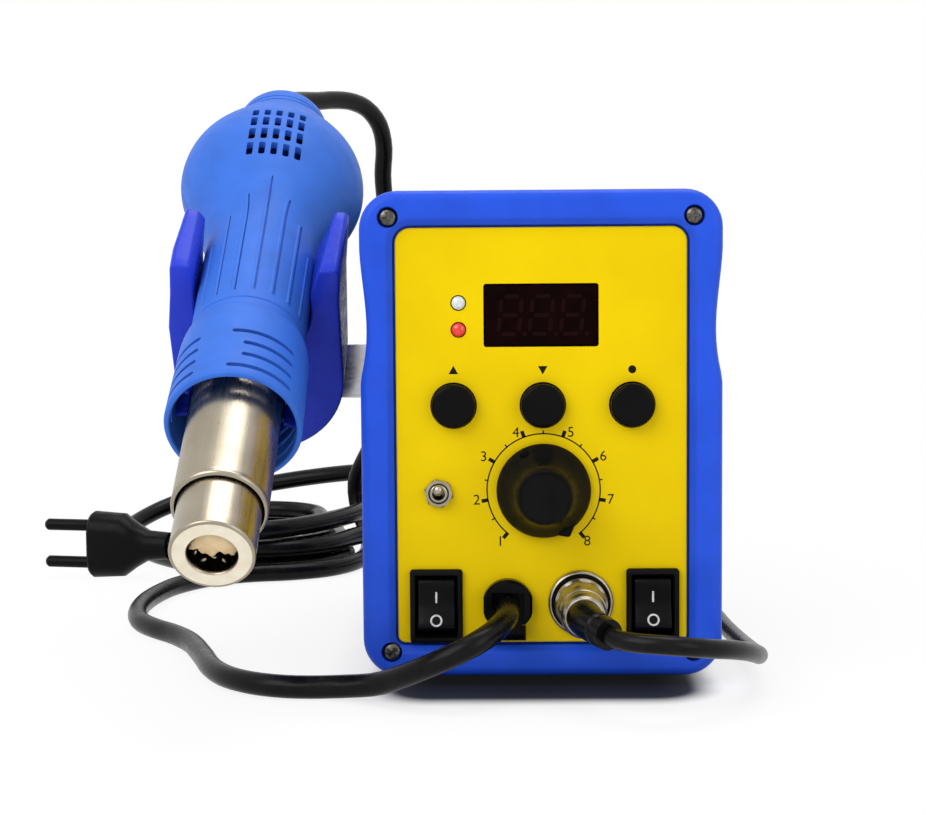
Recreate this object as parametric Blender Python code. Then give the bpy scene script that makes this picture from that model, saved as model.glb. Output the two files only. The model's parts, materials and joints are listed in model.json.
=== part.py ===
# Two-in-one hot air rework station: a bench-top case with a moulded front,
# a hot air handpiece lying in a side cradle, a soldering iron on its own cord,
# and the mains lead.
# Frame: metres, +Z up, the front faces -Y, +X is to the right seen from the front.
# The origin is the middle of the base plate's underside; the feet reach below it.

import math

import bmesh
import bpy
from mathutils import Matrix, Vector

# Clearances
GAP = 0.0003
RUNNING_GAP = 0.0004

# Station, overall
STATION_DEPTH = 0.150
FOOT_HEIGHT = 0.005
FOOT_RADIUS = 0.0065
FOOT_INSET_X = 0.012
FOOT_INSET_Y = 0.0215
FLOOR_Z = -FOOT_HEIGHT

# Front and rear bezels
BEZEL_WIDTH = 0.100
BEZEL_HEIGHT = 0.135
BEZEL_DEPTH = 0.014
BEZEL_DROP = 0.002
BEZEL_CORNER = 0.0105
BEZEL_ROUNDING = 0.0028
WAIST_DEPTH = 0.0018
WAIST_LOW = 0.081
WAIST_HIGH = 0.117
BEZEL_SCREW_X = 0.042
BEZEL_SCREW_INSET = 0.007
WELL_RADIUS = 0.0029
WELL_DEPTH = 0.0024
BEZEL_LEDGE = 0.0012

# Control panel and what sits in it
PANEL_WIDTH = 0.0804
PANEL_HEIGHT = 0.1154
PANEL_LIFT = 0.0094
PANEL_THICKNESS = 0.0016
PANEL_RECESS = 0.0026
PANEL_CHAMFER = 0.0022
PANEL_CORNER_TOP = 0.0042
PANEL_CORNER_LOW = 0.0020
WINDOW_WIDTH = 0.0312
WINDOW_HEIGHT = 0.0169
WINDOW_Z = 0.0986
WINDOW_THICKNESS = 0.0018
LED_X = -0.0228
LED_UPPER_Z = 0.1021
LED_LOWER_Z = 0.0947
LED_RADIUS = 0.0019
LED_PROUD = 0.0012
BUTTON_Z = 0.0737
BUTTON_PITCH = 0.0247
BUTTON_X = 0.0004
BUTTON_RADIUS = 0.00605
BUTTON_PROUD = 0.0036
BUTTON_TRAVEL = 0.0010
KNOB_X = 0.0005
KNOB_Z = 0.0501
KNOB_RADIUS = 0.0131
KNOB_CAP_RADIUS = 0.0072
KNOB_HEIGHT = 0.0175
KNOB_LIFT = 0.0008
KNOB_REST_DEG = 151.0
KNOB_POINTER = 0.0013
SHAFT_RADIUS = 0.0030
SHAFT_LENGTH = 0.0120
TOGGLE_X = -0.0286
TOGGLE_Z = 0.0494
TOGGLE_BUSH_RADIUS = 0.0024
TOGGLE_NUT_ACROSS = 0.0072
TOGGLE_NUT_THICKNESS = 0.0016
TOGGLE_LEVER_LENGTH = 0.0088
TOGGLE_THROW_DEG = 25.0
ROCKER_X_LEFT = -0.0295
ROCKER_X_RIGHT = 0.0307
ROCKER_Z = 0.0178
ROCKER_FLANGE_WIDTH = 0.0147
ROCKER_FLANGE_HEIGHT = 0.0206
ROCKER_FLANGE_THICKNESS = 0.0019
ROCKER_BODY_WIDTH = 0.0124
ROCKER_BODY_HEIGHT = 0.0176
ROCKER_BODY_DEPTH = 0.0135
ROCKER_OPENING_WIDTH = 0.0110
ROCKER_OPENING_HEIGHT = 0.0166
ROCKER_PIVOT_DEPTH = 0.0036
ROCKER_TILT_DEG = 10.0
GLAND_X = -0.0096
GLAND_Z = 0.0183
GLAND_RADIUS = 0.0072
GLAND_FLAT = 0.0068
GLAND_PROUD = 0.0042
GLAND_SLOT_WIDTH = 0.0088
GLAND_TAB_DROP = 0.0098
SOCKET_X = 0.0107
SOCKET_Z = 0.0186
SOCKET_FLANGE_RADIUS = 0.0091
SOCKET_FLANGE_THICKNESS = 0.0022
SOCKET_SHELL_RADIUS = 0.0058
SOCKET_SHELL_LENGTH = 0.0085
RING_RADIUS = 0.0084
RING_LENGTH = 0.0098
RING_SCALLOPS = 9
PLUG_LENGTH = 0.0150
PLUG_RADIUS = 0.0055
BOOT_LENGTH = 0.0130
BOOT_SIDEWAYS = 0.0058
BOOT_DROP = 0.0021

# Case
CASE_WIDTH = 0.094
CASE_HEIGHT = 0.127
SHEET = 0.0010
VENT_SLOT_WIDTH = 0.0022
VENT_SLOT_LENGTH = 0.030
VENT_PITCH = 0.0070
VENT_COUNT = 7
BASE_FLANGE = 0.010

# Inside the case
BOARD_THICKNESS = 0.0016
FRONT_BOARD_WIDTH = 0.070
FRONT_BOARD_HEIGHT = 0.058
FRONT_BOARD_Z = 0.0882
FRONT_BOARD_SETBACK = 0.0115
STANDOFF_RADIUS = 0.0025
MAIN_BOARD_WIDTH = 0.080
MAIN_BOARD_DEPTH = 0.046
MAIN_BOARD_Z = 0.0062
CORE_WIDTH = 0.054
CORE_DEPTH = 0.026
CORE_HEIGHT = 0.045
CORE_Y = 0.034
COIL_DEPTH = 0.040

# Handpiece: local Z runs from the nozzle tip to the tail, local -Y is its top
TIP_X = -0.0836
TIP_Y = -0.1310
TIP_Z = 0.0413
HANDLE_SLOPE_DEG = 32.5
HANDLE_ROLL_DEG = 8.0
NOZZLE_RADIUS = 0.0110
NOZZLE_WALL = 0.0008
NOZZLE_LENGTH = 0.034
NOZZLE_HOLE_RADIUS = 0.0071
BARREL_RADIUS = 0.0127
BARREL_WALL = 0.0009
BARREL_START = 0.0173
BARREL_END = 0.100
BARREL_COLLAR = 0.0920
SHROUD_START = 0.0516
SHROUD_END = 0.0876
SHROUD_RADIUS = 0.0188
SHROUD_WALL = 0.0020
SLOT_GROUPS = 4
SLOT_ROWS = 4
SLOT_START_DEG = 39.0
SLOT_LONG_DEG = 61.0
SLOT_SHORT_DEG = 50.0
SLOT_FIRST = 0.0549
SLOT_PITCH = 0.0054
SLOT_WIDTH = 0.0013
NECK_RADIUS = 0.0163
NECK_FLARE = 0.0006
SHELL_WALL = 0.0022
HEAD_CENTRE = 0.176
HEAD_HALF_WIDTH = 0.0290
HEAD_HALF_HEIGHT = 0.0250
HEAD_START = 0.134
SHOULDER_WIDE = 0.7
SHOULDER_HIGH = 1.3
HEAD_BACK = 0.0325
TAIL_LENGTH = 0.0105
TAIL_START = HEAD_CENTRE + HEAD_BACK
TAIL_END = TAIL_START + TAIL_LENGTH
TAIL_RADIUS = 0.0156
HANDLE_VENT_ROWS = 4
HANDLE_VENT_COLUMNS = 5
HANDLE_VENT_PITCH_X = 0.0037
HANDLE_VENT_PITCH_Z = 0.0068
HANDLE_VENT_WIDTH = 0.0020
HANDLE_VENT_LENGTH = 0.0052
HANDLE_VENT_START = HEAD_CENTRE - 0.0158
BLOWER_RADIUS = 0.0205
BLOWER_HALF_DEPTH = 0.0085
IMPELLER_RADIUS = 0.0165
IMPELLER_BLADES = 9

# Cradle and its bracket
CRADLE_START = 0.108
CRADLE_DEPTH = 0.024
CRADLE_HALF_WIDTH = 0.0253
CRADLE_ARM_FRONT = 0.0136
CRADLE_ARM_BACK = 0.0205
CRADLE_BOTTOM = 0.052
CRADLE_CHANNEL = 0.0173
BRACKET_TOP = 0.0870
BRACKET_HEIGHT = 0.0170
BRACKET_THICKNESS = 0.0015
BRACKET_Y = 0.0085
BRACKET_REACH = 0.046
BRACKET_FLANGE = 0.020

# Cords
HANDLE_CORD = 0.0064
MAINS_CORD = 0.0070
IRON_CORD = 0.0052
HANK_X = -0.1077
HANK_Y = 0.1738
HANK_TURN_DEG = 8.0
HANK_HALF_RUN = 0.030
HANK_END_RADIUS = 0.036
HANK_WIDTH = 0.0142
HANK_HEIGHT = 0.0142
IRON_COIL_X = 0.008
IRON_COIL_Y = 0.131
IRON_COIL_MIDDLE = 0.0298
IRON_COIL_WIDTH = 0.0104
IRON_COIL_HEIGHT = 0.0104

# Soldering iron, lying on the bench
IRON_X = 0.0575
IRON_TAIL_Y = 0.2680
IRON_RELIEF = 0.022
IRON_GRIP_RADIUS = 0.0105
IRON_GRIP_LENGTH = 0.096
IRON_BARREL_RADIUS = 0.0033
IRON_BARREL_LENGTH = 0.040
IRON_NUT_RADIUS = 0.0062

# Mains plug
PLUG_PLACE = (-0.1345, 0.1110, 0.0075)
PLUG_HEADING = (-0.98, 0.20)

FRONT_Y = -STATION_DEPTH / 2
REAR_Y = STATION_DEPTH / 2
BEZEL_BOTTOM = -BEZEL_DROP
BEZEL_TOP = BEZEL_BOTTOM + BEZEL_HEIGHT
PANEL_FRONT = FRONT_Y + PANEL_RECESS
PANEL_BACK = PANEL_FRONT + PANEL_THICKNESS
PANEL_LOW = BEZEL_BOTTOM + PANEL_LIFT
PANEL_HIGH = PANEL_LOW + PANEL_HEIGHT
CASE_FRONT = FRONT_Y + BEZEL_DEPTH + GAP
CASE_REAR = REAR_Y - BEZEL_DEPTH - GAP
FORWARD = (math.radians(90), 0, 0)
BACKWARD = (math.radians(-90), 0, 0)


def remove_everything():
    for obj in list(bpy.data.objects):
        bpy.data.objects.remove(obj, do_unlink=True)


def material(name, colour, roughness=0.5, metallic=0.0):
    found = bpy.data.materials.get(name)
    if found:
        return found
    made = bpy.data.materials.new(name)
    made.use_nodes = True
    shader = made.node_tree.nodes["Principled BSDF"]
    shader.inputs["Base Color"].default_value = (*colour, 1.0)
    shader.inputs["Roughness"].default_value = roughness
    shader.inputs["Metallic"].default_value = metallic
    return made


def blue_plastic():
    return material("blue_plastic", (0.03, 0.12, 0.72), 0.45)


def cradle_plastic():
    return material("cradle_plastic", (0.015, 0.02, 0.42), 0.35)


def yellow_panel():
    return material("yellow_panel", (0.86, 0.66, 0.01), 0.4)


def black_plastic():
    return material("black_plastic", (0.012, 0.012, 0.013), 0.4)


def black_rubber():
    return material("black_rubber", (0.01, 0.01, 0.011), 0.6)


def black_paint():
    return material("black_paint", (0.015, 0.015, 0.016), 0.5, 0.2)


def nickel():
    return material("nickel", (0.62, 0.60, 0.55), 0.25, 1.0)


def stainless():
    return material("stainless", (0.66, 0.66, 0.64), 0.35, 1.0)


def circuit_board():
    return material("circuit_board", (0.02, 0.16, 0.07), 0.5)


def mesh_object(name, bm, surface, location=(0, 0, 0), rotation=(0, 0, 0), parent=None):
    bmesh.ops.remove_doubles(bm, verts=bm.verts, dist=0.000001)
    bmesh.ops.recalc_face_normals(bm, faces=bm.faces)
    mesh = bpy.data.meshes.new(name)
    bm.to_mesh(mesh)
    bm.free()
    mesh.shade_smooth()
    mesh.set_sharp_from_angle(angle=math.radians(32))
    mesh.materials.append(surface)
    obj = bpy.data.objects.new(name, mesh)
    bpy.context.scene.collection.objects.link(obj)
    obj.location = location
    obj.rotation_euler = rotation
    obj.parent = parent
    return obj


def empty(name, location, rotation=(0, 0, 0)):
    obj = bpy.data.objects.new(name, None)
    bpy.context.scene.collection.objects.link(obj)
    obj.location = location
    obj.rotation_euler = rotation
    return obj


def add_loft(bm, loops, ring=False):
    """Joins equal closed loops; a ring loft runs back to its first loop."""
    rows = [[bm.verts.new(point) for point in loop] for loop in loops]
    count = len(rows[0])
    pairs = list(zip(rows, rows[1:]))
    if ring:
        pairs.append((rows[-1], rows[0]))
    for near, far in pairs:
        for i in range(count):
            j = (i + 1) % count
            bm.faces.new((near[i], near[j], far[j], far[i]))
    if not ring:
        bm.faces.new(list(reversed(rows[0])))
        bm.faces.new(rows[-1])


def add_turned(bm, profile, steps, hollow=False, centre=(0, 0, 0)):
    """Turns (radius, height) points about local Z. A hollow profile is a closed outline."""
    cx, cy, cz = centre
    rows = []
    for radius, height in profile:
        if radius < 1e-7:
            rows.append([bm.verts.new((cx, cy, cz + height))])
            continue
        row = []
        for k in range(steps):
            turn = 2 * math.pi * k / steps
            row.append(bm.verts.new((cx + radius * math.cos(turn), cy + radius * math.sin(turn),
                                     cz + height)))
        rows.append(row)
    pairs = list(zip(rows, rows[1:]))
    if hollow:
        pairs.append((rows[-1], rows[0]))
    for low, high in pairs:
        for k in range(steps):
            n = (k + 1) % steps
            if len(low) == 1 and len(high) == 1:
                continue
            if len(low) == 1:
                bm.faces.new((low[0], high[n], high[k]))
            elif len(high) == 1:
                bm.faces.new((low[k], low[n], high[0]))
            else:
                bm.faces.new((low[k], low[n], high[n], high[k]))


def turned(name, profile, surface, steps=32, hollow=False, **place):
    bm = bmesh.new()
    add_turned(bm, profile, steps, hollow)
    return mesh_object(name, bm, surface, **place)


def add_prism(bm, outline, low, high, axis="Z"):
    """Extrudes a flat outline from low to high along one axis."""
    loops = []
    for level in (low, high):
        if axis == "Z":
            loops.append([(a, b, level) for a, b in outline])
        elif axis == "Y":
            loops.append([(a, level, b) for a, b in outline])
        else:
            loops.append([(level, a, b) for a, b in outline])
    add_loft(bm, loops)


def add_box(bm, low, high):
    corners = [(low[0], low[1]), (high[0], low[1]), (high[0], high[1]), (low[0], high[1])]
    add_prism(bm, corners, low[2], high[2])


def rectangle(half_a, half_b, centre=(0, 0)):
    a, b = centre
    return [(a - half_a, b - half_b), (a + half_a, b - half_b), (a + half_a, b + half_b),
            (a - half_a, b + half_b)]


def circle(radius, steps, centre=(0, 0), start=0.0):
    points = []
    for k in range(steps):
        turn = start + 2 * math.pi * k / steps
        points.append((centre[0] + radius * math.cos(turn), centre[1] + radius * math.sin(turn)))
    return points


def rounded_rectangle(half_a, half_b, radius, centre=(0, 0), steps=4):
    points = []
    corners = ((1, 1, 0), (-1, 1, 90), (-1, -1, 180), (1, -1, 270))
    for side_a, side_b, start in corners:
        middle_a = centre[0] + side_a * (half_a - radius)
        middle_b = centre[1] + side_b * (half_b - radius)
        for k in range(steps + 1):
            turn = math.radians(start + 90 * k / steps)
            points.append((middle_a + radius * math.cos(turn), middle_b + radius * math.sin(turn)))
    return points


def cutter(name, bm):
    """A hidden tool body for Boolean cuts."""
    tool = mesh_object(name, bm, black_plastic())
    tool.hide_render = True
    tool.display_type = "WIRE"
    return tool


def cut(obj, tool, operation="DIFFERENCE"):
    modifier = obj.modifiers.new(tool.name, "BOOLEAN")
    modifier.operation = operation
    modifier.solver = "EXACT"
    modifier.object = tool
    modifier.use_self = True


def waist(z):
    """How far the bezel's side draws in at a height."""
    if z <= WAIST_LOW or z >= WAIST_HIGH:
        return 0.0
    share = (z - WAIST_LOW) / (WAIST_HIGH - WAIST_LOW)
    skewed = share ** 0.72
    return WAIST_DEPTH * (math.sin(math.pi * skewed)) ** 1.4


SIDE_STEPS = 8
CORNER_STEPS = 4


def bezel_outline(y, half_width, low, high, radius_low, radius_high, inset=0.0, waisted=False):
    """A rounded upright outline at a depth y, the same number of points each time."""
    half = half_width - inset
    bottom = low + inset
    top = high - inset
    r_low = max(radius_low - inset, 0.0004)
    r_high = max(radius_high - inset, 0.0004)
    points = []

    def corner(side, level, radius, start):
        middle_x = side * (half - radius)
        middle_z = top - radius if level > 0 else bottom + radius
        for k in range(CORNER_STEPS + 1):
            turn = math.radians(start + 90 * k / CORNER_STEPS)
            points.append((middle_x + radius * math.cos(turn), y, middle_z + radius * math.sin(turn)))

    def side_run(side, upward):
        for k in range(1, SIDE_STEPS):
            share = k / SIDE_STEPS if upward else 1 - k / SIDE_STEPS
            z = bottom + r_low + share * (top - r_high - bottom - r_low)
            draw = waist(z) if waisted else 0.0
            points.append((side * (half - draw), y, z))

    corner(1, 1, r_high, 0)
    corner(-1, 1, r_high, 90)
    side_run(-1, False)
    corner(-1, -1, r_low, 180)
    corner(1, -1, r_low, 270)
    side_run(1, True)
    return points


def outer_outline(y, inset):
    return bezel_outline(y, BEZEL_WIDTH / 2, BEZEL_BOTTOM, BEZEL_TOP, BEZEL_CORNER, BEZEL_CORNER, inset,
                         True)


def panel_outline(y, inset):
    return bezel_outline(y, PANEL_WIDTH / 2, PANEL_LOW, PANEL_HIGH, PANEL_CORNER_LOW, PANEL_CORNER_TOP,
                         inset)


def bezel_loops(mirror):
    """Rings from the front rounding, over the face, down the opening and out at the back."""
    steps = 2
    loops = []
    for k in range(steps + 1):
        turn = math.pi / 2 * k / steps
        depth = BEZEL_ROUNDING * (1 - math.sin(turn))
        inset = BEZEL_ROUNDING * (1 - math.cos(turn))
        loops.append((depth, "outer", inset))
    seat = PANEL_RECESS + PANEL_THICKNESS + GAP
    loops.append((0.0, "panel", -PANEL_CHAMFER - GAP))
    loops.append((PANEL_RECESS * 0.75, "panel", -GAP - 0.0004))
    loops.append((seat, "panel", -GAP - 0.0004))
    loops.append((seat, "panel", BEZEL_LEDGE))
    loops.append((BEZEL_DEPTH, "panel", BEZEL_LEDGE))
    loops.append((BEZEL_DEPTH, "outer", 0.0))
    result = []
    for depth, kind, inset in loops:
        y = REAR_Y - depth if mirror else FRONT_Y + depth
        result.append(outer_outline(y, inset) if kind == "outer" else panel_outline(y, inset))
    return result


def screw_places():
    low = BEZEL_BOTTOM + BEZEL_SCREW_INSET
    high = BEZEL_TOP - BEZEL_SCREW_INSET - GAP
    return [(x, z) for x in (-BEZEL_SCREW_X, BEZEL_SCREW_X) for z in (low, high)]


def make_bezel(name, mirror):
    bm = bmesh.new()
    add_loft(bm, bezel_loops(mirror), ring=True)
    bezel = mesh_object(name, bm, blue_plastic())
    if not mirror:
        wells = bmesh.new()
        floor = FRONT_Y + WELL_DEPTH
        for x, z in screw_places():
            add_prism(wells, circle(WELL_RADIUS, 20, (x, z)), FRONT_Y - 0.001, floor, "Y")
            add_prism(wells, circle(SCREW_SHANK + GAP, 10, (x, z)), floor - 0.0002, floor + SCREW_LENGTH,
                      "Y")
        cut(bezel, cutter(name + "_wells", wells))
    return bezel


SCREW_HEAD = 0.0026
SCREW_SHANK = 0.0014
SCREW_HEAD_HEIGHT = 0.0017
SCREW_LENGTH = 0.010


def make_bezel_screws():
    height = SCREW_HEAD_HEIGHT
    profile = [(0, -SCREW_LENGTH), (SCREW_SHANK, -SCREW_LENGTH), (SCREW_SHANK, 0), (SCREW_HEAD, 0),
               (SCREW_HEAD, height * 0.45), (SCREW_HEAD * 0.72, height * 0.9), (0, height)]
    seat = FRONT_Y + WELL_DEPTH - GAP
    for number, (x, z) in enumerate(screw_places(), 1):
        turned("bezel_screw_" + str(number), profile, nickel(), 10, location=(x, seat, z), rotation=FORWARD)


def make_control_panel():
    bm = bmesh.new()
    add_loft(bm, [panel_outline(PANEL_FRONT, 0.0), panel_outline(PANEL_BACK, 0.0)])
    panel = mesh_object("control_panel", bm, yellow_panel())
    tools = bmesh.new()
    front = PANEL_FRONT - 0.001
    back = PANEL_BACK + 0.001

    def hole(outline):
        add_prism(tools, outline, front, back, "Y")

    hole(rectangle(WINDOW_WIDTH / 2 + GAP, WINDOW_HEIGHT / 2 + GAP, (0, WINDOW_Z)))
    for z in (LED_UPPER_Z, LED_LOWER_Z):
        hole(circle(LED_RADIUS + GAP, 16, (LED_X, z)))
    for x in button_places():
        hole(circle(BUTTON_RADIUS + RUNNING_GAP, 20, (x, BUTTON_Z)))
    hole(circle(SHAFT_RADIUS + POT_BUSH_WALL + GAP, 20, (KNOB_X, KNOB_Z)))
    hole(circle(TOGGLE_BUSH_RADIUS + GAP, 16, (TOGGLE_X, TOGGLE_Z)))
    for x in (ROCKER_X_LEFT, ROCKER_X_RIGHT):
        hole(rectangle(ROCKER_BODY_WIDTH / 2 + GAP, ROCKER_BODY_HEIGHT / 2 + GAP, (x, ROCKER_Z)))
    hole(circle(GLAND_RADIUS - 0.0012 + GAP, 24, (GLAND_X, GLAND_Z)))
    hole(circle(SOCKET_SHELL_RADIUS + 0.0012 + GAP, 24, (SOCKET_X, SOCKET_Z)))
    cut(panel, cutter("panel_holes", tools))
    studs = bmesh.new()
    for x, z in standoff_places():
        add_prism(studs, circle(STANDOFF_RADIUS, 6, (x, z)), PANEL_BACK - 0.0005, BOARD_FRONT - GAP, "Y")
    cut(panel, cutter("panel_studs", studs), "UNION")
    return panel


POT_BUSH_WALL = 0.0009
POT_RADIUS = 0.0082
POT_DEPTH = 0.0120


def button_places():
    return [BUTTON_X - BUTTON_PITCH, BUTTON_X, BUTTON_X + BUTTON_PITCH]


def standoff_places():
    half_x = FRONT_BOARD_WIDTH / 2 - 0.004
    half_z = FRONT_BOARD_HEIGHT / 2 - 0.004
    return [(sx * half_x, FRONT_BOARD_Z + sz * half_z) for sx in (-1, 1) for sz in (-1, 1)]


BOARD_FRONT = PANEL_BACK + FRONT_BOARD_SETBACK


def make_display():
    bm = bmesh.new()
    outline = rounded_rectangle(WINDOW_WIDTH / 2, WINDOW_HEIGHT / 2, 0.0006, (0, WINDOW_Z), 2)
    start = PANEL_FRONT + 0.0003
    add_prism(bm, outline, start, start + WINDOW_THICKNESS, "Y")
    mesh_object("display_window", bm, material("window_acrylic", (0.06, 0.002, 0.004), 0.08))


def make_leds():
    for name, z, colour in (("led_upper", LED_UPPER_Z, (0.8, 0.8, 0.78)),
                            ("led_lower", LED_LOWER_Z, (0.7, 0.02, 0.02))):
        r = LED_RADIUS
        tip = LED_PROUD
        base = -(BOARD_FRONT - GAP - PANEL_FRONT)
        profile = [(0, base), (r * 1.2, base), (r * 1.2, base + 0.001), (r, base + 0.001),
                   (r, tip - r * 0.6),
                   (r * 0.87, tip - r * 0.3), (r * 0.5, tip - r * 0.08), (0, tip)]
        turned(name, profile, material(name, colour, 0.15), 10, location=(LED_X, PANEL_FRONT, z),
               rotation=FORWARD)


def make_front_board():
    bm = bmesh.new()
    outline = rectangle(FRONT_BOARD_WIDTH / 2, FRONT_BOARD_HEIGHT / 2, (0, FRONT_BOARD_Z))
    add_prism(bm, outline, BOARD_FRONT, BOARD_FRONT + BOARD_THICKNESS, "Y")
    mesh_object("front_board", bm, circuit_board())


def make_buttons():
    names = ("button_up", "button_down", "button_set")
    stem_end = -(BOARD_FRONT - PANEL_FRONT) + GAP + BUTTON_TRAVEL
    flange_front = -PANEL_THICKNESS - GAP
    for name, x in zip(names, button_places()):
        r = BUTTON_RADIUS
        top = BUTTON_PROUD
        profile = [(0, stem_end), (0.0018, stem_end), (0.0018, flange_front - 0.0016),
                   (r + 0.0013, flange_front - 0.0016), (r + 0.0013, flange_front), (r, flange_front),
                   (r, top - 0.0010), (r * 0.94, top - 0.0004), (r * 0.80, top), (0, top - 0.0002)]
        turned(name, profile, black_plastic(), 20, location=(x, PANEL_FRONT, BUTTON_Z), rotation=FORWARD)


def knob_profile():
    r = KNOB_RADIUS
    cap = KNOB_CAP_RADIUS
    top = KNOB_HEIGHT
    return [(0, -SHAFT_LENGTH), (SHAFT_RADIUS, -SHAFT_LENGTH), (SHAFT_RADIUS, KNOB_LIFT),
            (r - 0.0008, KNOB_LIFT), (r, KNOB_LIFT + 0.0006),
            (r, KNOB_LIFT + 0.0018), (r * 0.975, KNOB_LIFT + 0.0034), (r * 0.88, top * 0.32),
            (r * 0.74, top * 0.43), (r * 0.645, top * 0.58), (cap * 1.10, top * 0.80), (cap * 1.05,
                                                                                        top * 0.94),
            (cap, top), (cap * 0.90, top), (cap * 0.84, top - 0.0005), (0, top - 0.0005)]


def make_air_knob():
    turn = math.radians(-KNOB_REST_DEG)
    knob = turned("air_knob", knob_profile(), black_plastic(), 28, location=(KNOB_X, PANEL_FRONT, KNOB_Z),
                  rotation=FORWARD)
    tip = bmesh.new()
    reach = KNOB_RADIUS + KNOB_POINTER
    wedge = [(-0.0022, KNOB_RADIUS * 0.80), (0.0022, KNOB_RADIUS * 0.80), (0.0022, KNOB_RADIUS * 0.97),
             (0.0002, reach), (-0.0002, reach), (-0.0022, KNOB_RADIUS * 0.97)]
    turned_wedge = [(x * math.cos(turn) - y * math.sin(turn), x * math.sin(turn) + y * math.cos(turn))
                    for x, y in wedge]
    add_prism(tip, turned_wedge, KNOB_LIFT, KNOB_LIFT + 0.0032)
    pointer = cutter("knob_pointer", tip)
    pointer.location = knob.location
    pointer.rotation_euler = knob.rotation_euler
    cut(knob, pointer, "UNION")
    back = -PANEL_THICKNESS - GAP
    inner = SHAFT_RADIUS + RUNNING_GAP
    bush = SHAFT_RADIUS + POT_BUSH_WALL
    floor = -SHAFT_LENGTH - GAP
    body = [(0, floor), (inner, floor), (inner, KNOB_LIFT - 0.0006), (bush, KNOB_LIFT - 0.0006),
            (bush, back),
            (POT_RADIUS, back), (POT_RADIUS, back - POT_DEPTH), (0, back - POT_DEPTH)]
    turned("potentiometer", body, material("pot_case", (0.2, 0.2, 0.2), 0.4, 0.8), 24,
           location=(KNOB_X, PANEL_FRONT, KNOB_Z), rotation=FORWARD)


def make_toggle():
    back = -PANEL_THICKNESS - GAP
    inner = TOGGLE_BUSH_RADIUS - 0.0007
    depth = back - 0.008
    place = {"location": (TOGGLE_X, PANEL_FRONT, TOGGLE_Z), "rotation": FORWARD}
    bush = [(inner, -0.0042), (inner, 0.0026), (TOGGLE_BUSH_RADIUS, 0.0026), (TOGGLE_BUSH_RADIUS, back),
            (0.0038, back), (0.0038, depth), (0, depth), (0, -0.0042), (inner, -0.0042)]
    turned("toggle_body", bush, nickel(), 16, **place)
    nut = bmesh.new()
    bore = TOGGLE_BUSH_RADIUS + GAP
    across = TOGGLE_NUT_ACROSS / math.sqrt(3)
    inside = circle(bore, 24, start=math.radians(15))
    outside = []
    for k in range(24):
        turn = math.radians(15) + 2 * math.pi * k / 24
        folded = (turn - math.radians(15) + math.pi / 6) % (math.pi / 3) - math.pi / 6
        reach = across * math.cos(math.pi / 6) / math.cos(folded)
        outside.append((reach * math.cos(turn), reach * math.sin(turn)))
    low = GAP
    high = GAP + TOGGLE_NUT_THICKNESS
    loops = [[(x, y, low) for x, y in outside], [(x, y, high) for x, y in outside],
             [(x, y, high) for x, y in inside], [(x, y, low) for x, y in inside]]
    add_loft(nut, loops, ring=True)
    mesh_object("toggle_nut", nut, nickel(), **place)
    length = TOGGLE_LEVER_LENGTH
    lever = [(0, -0.0034), (0.0010, -0.0030), (0.0011, 0.0), (0.0010, 0.0030), (0.0014, length - 0.002),
             (0.0013, length - 0.0005), (0.0007, length), (0, length)]
    tilt = math.radians(90 - TOGGLE_THROW_DEG / 2)
    turned("toggle_lever", lever, nickel(), 14, location=(TOGGLE_X, PANEL_FRONT, TOGGLE_Z),
           rotation=(tilt, 0, 0))


def rocker_paddle_outline():
    """Side view of the paddle about its pivot: (height, forward)."""
    half = ROCKER_OPENING_HEIGHT / 2 - RUNNING_GAP
    rise = half * math.tan(math.radians(ROCKER_TILT_DEG)) * 0.9
    front = ROCKER_PIVOT_DEPTH
    points = [(-half + 0.0002, 0.0)]
    for k in range(1, 4):
        share = k / 3
        points.append((-half + 0.0002 + 0.0010 * share ** 2, share * (front + rise - 0.0004)))
    points.append((-half + 0.0020, front + rise - 0.0002))
    points.append((0.0, front))
    points.append((half - 0.0020, front + rise - 0.0002))
    for k in range(3, 0, -1):
        share = k / 3
        points.append((half - 0.0002 - 0.0010 * share ** 2, share * (front + rise - 0.0004)))
    points.append((half - 0.0002, 0.0))
    points.append((half * 0.45, -0.0030))
    points.append((-half * 0.45, -0.0030))
    return points


def make_rocker(side, x):
    bm = bmesh.new()
    flange = rounded_rectangle(ROCKER_FLANGE_WIDTH / 2, ROCKER_FLANGE_HEIGHT / 2, 0.0006, (x, ROCKER_Z), 2)
    inner = rounded_rectangle(ROCKER_OPENING_WIDTH / 2, ROCKER_OPENING_HEIGHT / 2, 0.0004, (x, ROCKER_Z), 2)
    body = rounded_rectangle(ROCKER_BODY_WIDTH / 2, ROCKER_BODY_HEIGHT / 2, 0.0004, (x, ROCKER_Z), 2)
    front = PANEL_FRONT - ROCKER_FLANGE_THICKNESS
    lip = rounded_rectangle(ROCKER_FLANGE_WIDTH / 2 - 0.0005, ROCKER_FLANGE_HEIGHT / 2 - 0.0005, 0.0006,
                            (x, ROCKER_Z), 2)
    cavity = PANEL_FRONT + 0.0085
    rear = PANEL_FRONT + ROCKER_BODY_DEPTH
    rings = [(inner, cavity), (inner, front), (lip, front), (flange, front + 0.0006),
             (flange, PANEL_FRONT - GAP),
             (body, PANEL_FRONT - GAP), (body, rear)]
    loops = [[(a, y, b) for a, b in outline] for outline, y in rings]
    add_loft(bm, loops)
    mesh_object("rocker_frame_" + side, bm, black_plastic())
    paddle = bmesh.new()
    half = ROCKER_OPENING_WIDTH / 2 - RUNNING_GAP
    outline = [(-forward, height) for height, forward in rocker_paddle_outline()]
    add_prism(paddle, outline, -half, half, "X")
    pivot_y = front + ROCKER_PIVOT_DEPTH
    mesh_object("rocker_paddle_" + side, paddle, black_plastic(), location=(x, pivot_y, ROCKER_Z),
                rotation=(math.radians(-ROCKER_TILT_DEG), 0, 0))


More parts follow.
